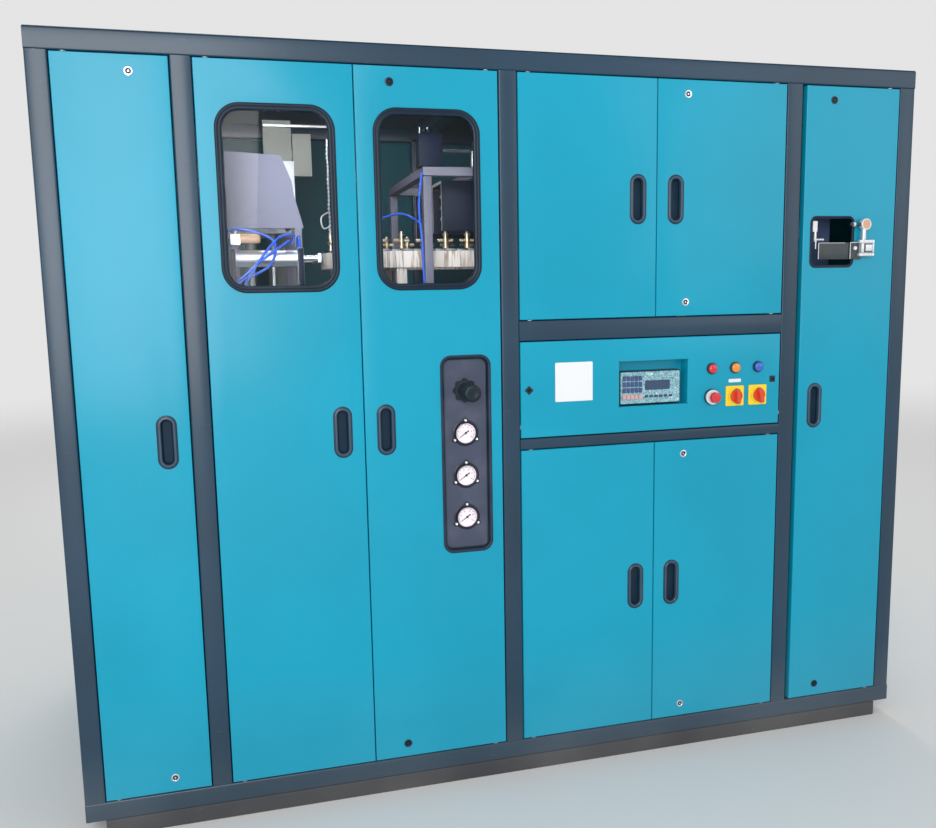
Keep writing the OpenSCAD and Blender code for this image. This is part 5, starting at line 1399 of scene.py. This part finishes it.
def buildOperatorPanel():
    x0, x1, z0, z1 = doorEdges["control_panel"]
    cx, cz = (x0 + x1) / 2, (z0 + z1) / 2
    rx, rz, rw, rh = station["recess"]
    edge = station["recessEdge"]
    holes = [(plainRect(rw + 2 * edge, rh + 2 * edge)(0), rx, rz)]
    holes += [(disc(panels["lockHole"], 20)(0), x, panelHinge["lockZ"]) for x in panelHinge["lockX"]]
    for x in station["columns"]:
        for z in (station["lampZ"], station["switchZ"]):
            holes.append((disc(station["partHole"], 20)(0), x, z))
    bm = bmesh.new()
    holes = [(points, x - cx, z - cz) for points, x, z in holes]
    foldedSheet(bm, x1 - x0, z1 - z0, front(cx, cz), holes)
    d = station["recessDepth"]
    loft(bm, roundRect(rw, rh, 3, 3), [
        (-edge, d + edge), (-edge, 0.0), (-0.9, 0.1), (-0.2, 0.6), (0, 1.6), (0, d),
    ], front(rx, rz))
    node = "control_panel"
    addPiece("operatorPanel", bm, [doorTeal], node, [node], 20)
    px, pz, pw, ph = station["plate"]
    plate = bmesh.new()
    loft(plate, roundRect(pw, ph, 2.5, 4), [(0, -0.3), (0, -1.3), (0.5, -1.8)], front(px, pz))
    addNodePiece("name_plate", plate, [plateWhite], "control_panel")


def buildTerminal():
    x, z, w, h = station["terminal"]
    back, lip = station["terminalBack"], station["terminalLip"]
    bm = bmesh.new()
    loft(bm, roundRect(w, h, 5, 4), [
        (1, back, 2), (0, back - 1, 2), (0, lip + 3, 2), (1, lip + 0.8, 2), (3, lip, 0), (4.5, lip, 0),
        (5.5, lip + 0.6, 0),
    ], front(x, z), 2)
    dx, dz, w, h = station["screen"]
    loft(bm, roundRect(w, h, 2, 3), [
        (0, lip + 1), (0, lip - 0.2), (0.8, lip - 0.5), (2, lip + 0.5),
    ], front(x + dx, z + dz), 1)
    finishes = [terminalFilm, screenBlue, blackPlastic]
    addPiece("terminalCase", bm, finishes, "control_panel", ["terminal"])
    foot = (keypad["footRow"],)
    for name, columns, rows, sizes, material in (
        ("terminalKeys", keypad["columns"], keypad["rows"], keypad["size"], keyNavy),
        ("terminalFootKeys", keypad["columns"], foot, keypad["size"], keyRose),
        ("terminalSoftKeys", keypad["softColumns"], foot, keypad["softSize"], screenBlue),
    ):
        spots = [at(kx, lip - keypad["rise"], z + row) for kx in columns for row in rows]
        runTree(name, keyTree, spots, [], sizes, material, "control_panel")


def buildLamps():
    z, half = station["lampZ"], pilot["body"]
    bm = bmesh.new()
    for material, x in enumerate(station["columns"], 1):
        place = front(x, z)
        loft(bm, disc(pilot["ring"], 36), [
            (5.5, 30), (5.5, -0.2), (0, -0.3), (0, -3.2), (0.8, -4.2), (2.6, -4.6), (3.4, -3.6),
        ], place)
        loft(bm, disc(pilot["lens"], 36), [
            (0, -3.5), (0, -8.6), (0.8, -10.4), (2.4, -11.8), (5, -12.8), (9, -13.4),
        ], place, material)
        block(bm, x - half, x + half, *pilot["behind"], z - half, z + half, 1.5)
    lenses = [blackPlastic, lensRed, lensAmber, lensBlue]
    addNodePiece("pilot_lamps", bm, lenses, "control_panel")


def buildSwitches():
    # the stop switch and the two turning ones, with their bodies behind the panel
    stopX, mainX, heaterX = station["columns"]
    z, stem, half = station["switchZ"], station["stem"], turnSwitch["body"]
    stop, (halfW, halfH) = front(stopX, z), stopSwitch["body"]
    bm = bmesh.new()
    collar = [(3, -0.3), (0, -0.3), (0, -4.6), (1.6, -6), (4, -6)]
    ring = [(1, -5), (0, -6), (0, -11), (1, -12), (6, -12), (7, -10.5)]
    loft(bm, disc(stopSwitch["collar"], 40), collar, stop, 1)
    loft(bm, disc(stopSwitch["ring"], 40), ring, stop, 2)
    rod(bm, "y", stopX, z, 0, 30, stem, 1)
    block(bm, stopX - halfW, stopX + halfW, *stopSwitch["behind"], z - halfH, z + halfH, 1.5, 1)
    for x in (mainX, heaterX):
        loft(bm, roundRect(*turnSwitch["plate"]), [(0, -0.3), (0, -2.6), (0.8, -3.3)], front(x, z))
        loft(bm, disc(turnSwitch["dial"], 40), [(0, -3), (0, -8.3), (1, -9.3)], front(x, z))
        rod(bm, "y", x, z, 0, 20, stem, 1)
        block(bm, x - half, x + half, *turnSwitch["behind"], z - half, z + half, 2, 1)
    label = front(mainX, z + turnSwitch["labelRise"])
    loft(bm, roundRect(*turnSwitch["label"]), [(0, -0.3), (0, -1.0), (0.3, -1.3)], label, 3)
    finishes = [switchYellow, blackPlastic, ringWhite, plateWhite]
    addNodePiece("switch_bodies", bm, finishes, "control_panel")


def buildHandles():
    stopX, *turning = station["columns"]
    z = station["switchZ"]
    stop = front(stopX, z)
    bm = bmesh.new()
    loft(bm, disc(stopSwitch["button"], 40), [
        (7.5, 15), (7.5, -19), (0.8, -19), (0, -19.8), (0, -27), (0.6, -29), (2.2, -30.4), (6, -31),
        (14, -31.2),
    ], stop)
    addNodePiece("stop_button", bm, [signalRed], "stop_button")
    nodes = ("main_switch_handle", "heater_switch_handle")
    for x, node, turn in zip(turning, nodes, turnSwitch["turns"]):
        bm = bmesh.new()
        loft(bm, disc(turnSwitch["hub"], 40), [
            (15, 25), (15, -9.6), (0.4, -9.6), (0, -10.2), (0, -13.6), (1, -14.6),
        ], front(x, z))
        loft(bm, roundRect(*turnSwitch["grip"]), [
            (0, -13), (0.3, -22), (1.2, -26), (3, -27.6), (4.5, -27.6), (5, -27.2),
        ], front(x, z, turn))
        addNodePiece(node, bm, [handleRed], node)


buildOperatorPanel()
buildTerminal()
buildLamps()
buildSwitches()
buildHandles()
print("operator panel built")


# Air valve at the service opening: places are measured from the opening's centre
valve = {
    "front": -2.3,
    "dial": (101, 50, 34),
    "screwColumns": (86, 128),
    "screwRows": (-38, 0),
    "screwDepth": 17,
    "screw": {"Head Diameter": 0.007, "Head Height": 0.002, "Turn": facingFront},
    "blocks": [  # left, right, front and back from the front face, low, high, rounding, finish
        (-50, 57, -4, 0, -51, -2, 1.4, 0), (56, 95, -7, 0, -51, -1, 1.6, 0),
        (85, 129, -22, -6, -34, -4, 3, 1),
        (81, 133, -17, -6, -43, -33, 2, 1), (81, 133, -17, -6, -5, 5, 2, 1),
        (93, 121, -23, -21.6, -32, -6, 1, 0), (96, 118, -25.5, -22.8, -29, -9, 1.6, 1),
        # the next four thin white strips along the dark bracket's edges are painted highlights; the row
        # after them is a real white tag
        (55.4, 57.2, -8.2, -6.8, -50, -2, 0.4, 2), (56, 84, -8.2, -6.8, -3.2, -1.4, 0.4, 2),
        (-50.6, -48.8, -5.2, -3.8, -50, -3, 0.4, 2), (-49, 40, -5.2, -3.8, -4, -2.6, 0.4, 2),
        (-62, -46, 8.3, 10.3, 30, 61, 0.6, 2),
    ],
    "rods": [  # axis, the place across it and the two ends, thickness, finish
        ("y", (72, -19), (-11, -6), 12, 1), ("x", (-12, 50), (48, 92), 10, 0),
        ("x", (-12, 50), (58, 66), 14, 1), ("z", (-51, 12.3), (1, 33), 9, 1),
        ("x", (12.3, 7), (-54, -22), 8, 1), ("z", (-51, 8.3), (-20, 8), 5, 1),
        ("z", (97, -12), (4, 40), 14, 1),
    ],
}


def buildValve():
    x, y, z = service["x"], valve["front"], service["z"]
    bm = bmesh.new()
    for x0, x1, y0, y1, z0, z1, r, material in valve["blocks"]:
        block(bm, x + x0, x + x1, y + y0, y + y1, z + z0, z + z1, r, material)
    for axis, (p, q), (a, b), d, material in valve["rods"]:
        across, along = {"x": ((y, z), x), "y": ((x, z), y), "z": ((x, y), z)}[axis]
        rod(bm, axis, across[0] + p, across[1] + q, along + a, along + b, d, material)
    dx, dz, d = valve["dial"]
    loft(bm, disc(d, 36), [
        (3, y - 4, 1), (0, y - 6, 1), (0, y - 17, 2), (0.8, y - 19, 2), (2.6, y - 20, 2),
        (4, y - 19.4, 3), (5, y - 18.4, 3),
    ], front(x + dx, z + dz), 1)
    finishes = [valveBlack, valveSilver, ringWhite, copperFace]
    addNodePiece("air_valve", bm, finishes, "right_door")
    deep = y - valve["screwDepth"]
    spots = [at(x + dx, deep, z + dz) for dx in valve["screwColumns"] for dz in valve["screwRows"]]
    runTree("valveScrews", screwTree, spots, [], valve["screw"], chrome, "right_door")


buildValve()
print("valve built")


# Machinery inside
chain = {
    "left": 848.6,
    "run": 975,
    "frontY": 260,
    "pitch": 65,
    "straight": 16,
    "turnSteps": 6,
    "radius": 6 * 65 / math.pi,
    "top": 1499.3,
    "seat": 8,
    "link": (37, 15, 7.4, 3),
    "thickness": 6.4,
    "ease": 0.8,
    "links": ((0.25, 1.2), (0.75, 0)),  # share of the pitch, height over the track
}


def chainPath():
    left, right = chain["left"], chain["left"] + chain["run"]
    r, near = chain["radius"], chain["frontY"]
    steps = [i * chain["pitch"] for i in range(chain["straight"])]
    turns = [math.pi * i / chain["turnSteps"] for i in range(1, chain["turnSteps"])]
    path = [(left + step, near) for step in steps]
    path += [(right + r * math.sin(a), near + r - r * math.cos(a)) for a in turns]
    path += [(right - step, near + 2 * r) for step in steps]
    path += [(left - r * math.sin(a), near + r + r * math.cos(a)) for a in turns]
    return path


def buildChain():
    path = chainPath()
    verts = [at(x, y, chain["top"] + chain["seat"]) for x, y in path]
    edges = [(i, (i + 1) % len(verts)) for i in range(len(verts))]
    mandrels = runTree("chainMandrels", mandrelTree, verts, edges, {}, brass, "cabinet", "chain_brass")
    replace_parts(mandrels, "carrier_chain")
    bm = bmesh.new()
    for (ax, ay), (bx, by) in zip(path, path[1:] + path[:1]):
        angle = math.atan2(by - ay, bx - ax)
        for share, lift in chain["links"]:
            place = upright(ax + (bx - ax) * share, ay + (by - ay) * share, angle)
            low = chain["top"] + lift
            high = low + chain["thickness"]
            easedBar(bm, roundRect(*chain["link"]), place, low, high, chain["ease"], 0)
    addPiece("chainLinks", bm, [steelGround], "cabinet")


def clampFinish(x, y, z, n):
    # painted plates, bright tie bars and rods
    plate = 250.5 < y < 261.5 or 678.5 < y < 689.5
    face = abs(n.y) > 0.9 and 249 < y < 691 and not 263 < y < 677
    return 0 if plate or face else 1


def cylinderFinish(x, y, z, n):
    # the low front faces, the feet, take the dark hood paint: painted shade, so that they fade into the
    # dark under the cylinders
    return 1 if z < 1449 and y < 160 else 0


def ovenFinish(x, y, z, n):
    # black hoods, pale reflectors between them, grey stands
    if not 1020 < x < 1722:
        return 1
    hood = any(49 < abs(y - row) < 61 for row in (260, 508.3)) or z > 1682
    return 0 if hood and z < 1693.1 else 2 if 1550 < z < 1690 else 1


def gearFinish(x, y, z, n):
    # cable duct, rail, pale units, dark units and blue ones
    if z > 1910 and y < 735 and x < 1000:
        return 4
    if z > 1381 and x < 1100:
        return 3
    if y > 699 or z > 755 and x < 1700:
        return 0
    return 1 if 555 < z < 655 and x < 1700 else 2


def airFinish(x, y, z, n):
    # receiver, service unit, fittings and their plugs
    return 0 if x < 330 else 1 if x > 1200 else 3 if z > 1802 or x > 1005 else 2


gearLooks = [gearPlastic, gearDark, gearBlue, ductBeige, aluminium]
airLooks = [receiverBlue, unitNavy, hoodBlack, chrome]
ovenLooks = [hoodBlack, standGrey, ringWhite]

buildChain()
for row in (  # piece, CAD node, finishes, body, slot, width of its edges, finish of a face
    ("carrierTrack", "carrier_track", [trackCream], "cabinet", "track_metal", 1.5),
    ("chainWheels", "chain_wheels", [steelGround], "cabinet", "wheel_steel", 0.8),
    ("machineTable", "machine_table", [steelGround], "cabinet", "table_steel", 1.2),
    ("clampFrame", "clamp_frame", [clampGrey, chrome], "cabinet", "clamp_paint", 1.2, clampFinish),
    ("airCylinders", "air_cylinders", [aluminium, hoodBlack], "cabinet", "cylinder_metal", 1.0,
     cylinderFinish),
    ("ovenHoods", "oven_hoods", ovenLooks, "cabinet", "hood_black", 1.2, ovenFinish),
    ("electricalGear", "electrical_gear", gearLooks, "cabinet", "gear_plastic", 1.0, gearFinish),
    ("airSupply", "air_supply", airLooks, "cabinet", "receiver_paint", 1.2, airFinish),
    ("airPipes", "air_pipes", [nylonBlue], "cabinet", "pipe_blue", 0.3),
    ("driveMotor", "drive_motor", [motorBlue], "cabinet", "motor_paint", 1.2),
    ("baseTray", "base_tray", [frameSlate], "cabinet", "frame_paint", 0.3),
    ("frontMould", "front_clamp", [aluminium], "front_clamp", "mould_metal", 1.0),
    ("rearMould", "rear_clamp", [aluminium], "rear_clamp", "mould_metal", 1.0),
    ("blowNozzles", "blow_nozzles", [steelDrawn], "blow_nozzles", "rod_chrome", 0.8),
    ("stretchRods", "stretch_rods", [chrome], "stretch_rods", "rod_chrome", 0.8),
    ("transferRod", "transfer_rod", [chrome], "transfer_rod", "rod_chrome", 0.8),
):
    dressCad(*row)


# Loose runs inside: blue pipes by both windows and a wrapped cable hanging at the bay's right
runs = {
    "pipe": 6.5,
    "pipes": [
        [(420, 125, 1513), (424, 104, 1545), (478, 86, 1548), (545, 80, 1518), (531, 80, 1456),
         (455, 86, 1418), (430, 100, 1392)],
        [(576, 125, 1513), (584, 92, 1520), (556, 78, 1502), (512, 76, 1470), (450, 80, 1418),
         (424, 96, 1392)],
        [(590, 118, 1513), (596, 90, 1534), (560, 84, 1530), (520, 74, 1488), (476, 76, 1424),
         (460, 90, 1392)],
        [(800, 196, 1560), (856, 200, 1590), (905, 204, 1600), (950, 204, 1580), (984, 204, 1545)],
        [(944, 104, 1702), (936, 102, 1640), (934, 101, 1590), (940, 102, 1520), (944, 103, 1400)],
    ],
    "cable": {"x": 748, "y": 600, "low": 1410, "high": 1864, "core": 4, "wrap": 8},
    "wraps": {"count": 34, "first": 1424, "pitch": 13, "tall": 8, "sway": 1.2},
    "tail": [(748, 600, 1640), (722, 598, 1622), (728, 598, 1588), (756, 600, 1596), (748, 600, 1572)],
    "tailWidth": 5,
    "portBlock": (436, 462, 112, 140, 1512, 1540, 2),
    "portRods": [("x", 126, 1529, 461, 512, 24, 1, 2), ("z", 449, 126, 1539, 1548, 12, 2)],
}


def buildRuns():
    bm = bmesh.new()
    for points in runs["pipes"]:
        pipe(bm, smoothPath(points), runs["pipe"])
    addPiece("bluePipes", bm, [nylonBlue], "cabinet")
    cable, wraps = runs["cable"], runs["wraps"]
    x, y = cable["x"], cable["y"]
    bm = bmesh.new()
    rod(bm, "z", x, y, cable["low"], cable["high"], cable["core"], 0, 0.4, 8)
    for i in range(wraps["count"]):
        low = wraps["first"] + wraps["pitch"] * i
        sway = wraps["sway"] * math.sin(i)
        rod(bm, "z", x + sway, y, low, low + wraps["tall"], cable["wrap"], 0, 1.6, 10)
    pipe(bm, smoothPath(runs["tail"]), runs["tailWidth"])
    addPiece("wrappedCable", bm, [aluminium], "cabinet")
    bm = bmesh.new()
    block(bm, *runs["portBlock"])
    for values in runs["portRods"]:
        rod(bm, *values)
    addPiece("portValve", bm, [aluminium, copperFace, chrome], "cabinet")


buildRuns()
print("machinery dressed")


# Floor, world and lamps
studio = {
    "floor": (0.78, 0.78, 0.775),
    "far": (0.97, 0.97, 0.97),
    "cloudShade": 0.985,
    "half": 30,
    "toneReach": (3.0, 14.0),
    "glowReach": (3.5, 12.0),
    "sky": 0.60,
    "backdrop": 0.78,
    "lamps": [  # name, place, aims at, width, height, power
        ("key", (-1.6, -4.7, 2.35), (-0.5, 0, 1.2), 2.2, 3.4, 128),
        ("fill", (3.8, -4.4, 2.6), (0.4, 0, 0.9), 3.0, 3.0, 30),
        ("rear", (1.0, 4.6, 3.4), (0, 0, 1.1), 3.0, 3.0, 90),
        ("mouldBay", (-0.70, -0.36, 1.93), (-0.62, 0.05, 1.5), 0.6, 0.08, 2.0),
        ("ovenBay", (-0.10, -0.36, 1.93), (-0.05, 0.05, 1.5), 0.5, 0.08, 0.9),
    ],
}


def seenDirectly(tree):
    # 1 for the eye and for what gloss and glass show, 0 for the light on the object
    path = addNode(tree, "ShaderNodeLightPath")
    seen = mathOf(tree, "MAXIMUM", path.outputs["Is Camera Ray"], path.outputs["Is Glossy Ray"])
    return mathOf(tree, "MAXIMUM", seen, path.outputs["Is Transmission Ray"])


def floorLook():
    # pale with faint clouds near the object, as bright as the backdrop far off
    material, tree, shader = newMaterial("floorPale")
    place = placeOf(tree)
    pale = studio["floor"]
    shaded = (*[c * studio["cloudShade"] for c in pale], 1)
    near = blendColor(tree, noise(tree, place, 0.9, 3.0), shaded, (*pale, 1))
    reach = addNode(tree, "ShaderNodeVectorMath", {0: place}, operation="LENGTH").outputs["Value"]
    far = remap(tree, reach, *studio["toneReach"])
    tree.links.new(blendColor(tree, far, near, (*studio["far"], 1)), shader.inputs["Base Color"])
    shader.inputs["Roughness"].default_value = 0.7
    shader.inputs["Specular IOR Level"].default_value = 0.2
    glow = addNode(tree, "ShaderNodeEmission", {"Color": (1, 1, 1, 1), "Strength": studio["backdrop"]})
    share = times(tree, seenDirectly(tree), remap(tree, reach, *studio["glowReach"]))
    mix = addNode(tree, "ShaderNodeMixShader", {0: share, 1: shader.outputs[0], 2: glow.outputs[0]})
    tree.links.new(mix.outputs[0], tree.nodes["Material Output"].inputs["Surface"])
    return material


def buildWorld():
    world = bpy.data.worlds.new("studio")
    bpy.context.scene.world = world
    world.use_nodes = True
    sky = world.node_tree
    sky.nodes.clear()
    strength = addNode(sky, "ShaderNodeMapRange", {
        "Value": seenDirectly(sky), "To Min": studio["sky"], "To Max": studio["backdrop"],
    }).outputs[0]
    ambient = addNode(sky, "ShaderNodeBackground", {"Color": (1, 1, 1, 1), "Strength": strength})
    addNode(sky, "ShaderNodeOutputWorld", {"Surface": ambient.outputs[0]})


def addLamp(name, place, target, wide, tall, power):
    light = bpy.data.lights.new(name, "AREA")
    light.shape = "RECTANGLE"
    light.size = wide
    light.size_y = tall
    light.energy = power
    lamp = bpy.data.objects.new(name, light)
    lamp.location = place
    lamp.visible_camera = False
    lamp.rotation_euler = (Vector(target) - Vector(place)).to_track_quat("-Z", "Y").to_euler()
    bpy.context.scene.collection.objects.link(lamp)


half = studio["half"]
corners = [(-half, -half, 0), (half, -half, 0), (half, half, 0), (-half, half, 0)]
floorMesh = bpy.data.meshes.new("floor")
floorMesh.from_pydata(corners, [], [(0, 1, 2, 3)])
floorMesh.materials.append(floorLook())
floor = bpy.data.objects.new("floor", floorMesh)
bpy.context.scene.collection.objects.link(floor)
buildWorld()
for row in studio["lamps"]:
    addLamp(*row)

bpy.context.scene.view_settings.view_transform = "Standard"
print("scene ready")
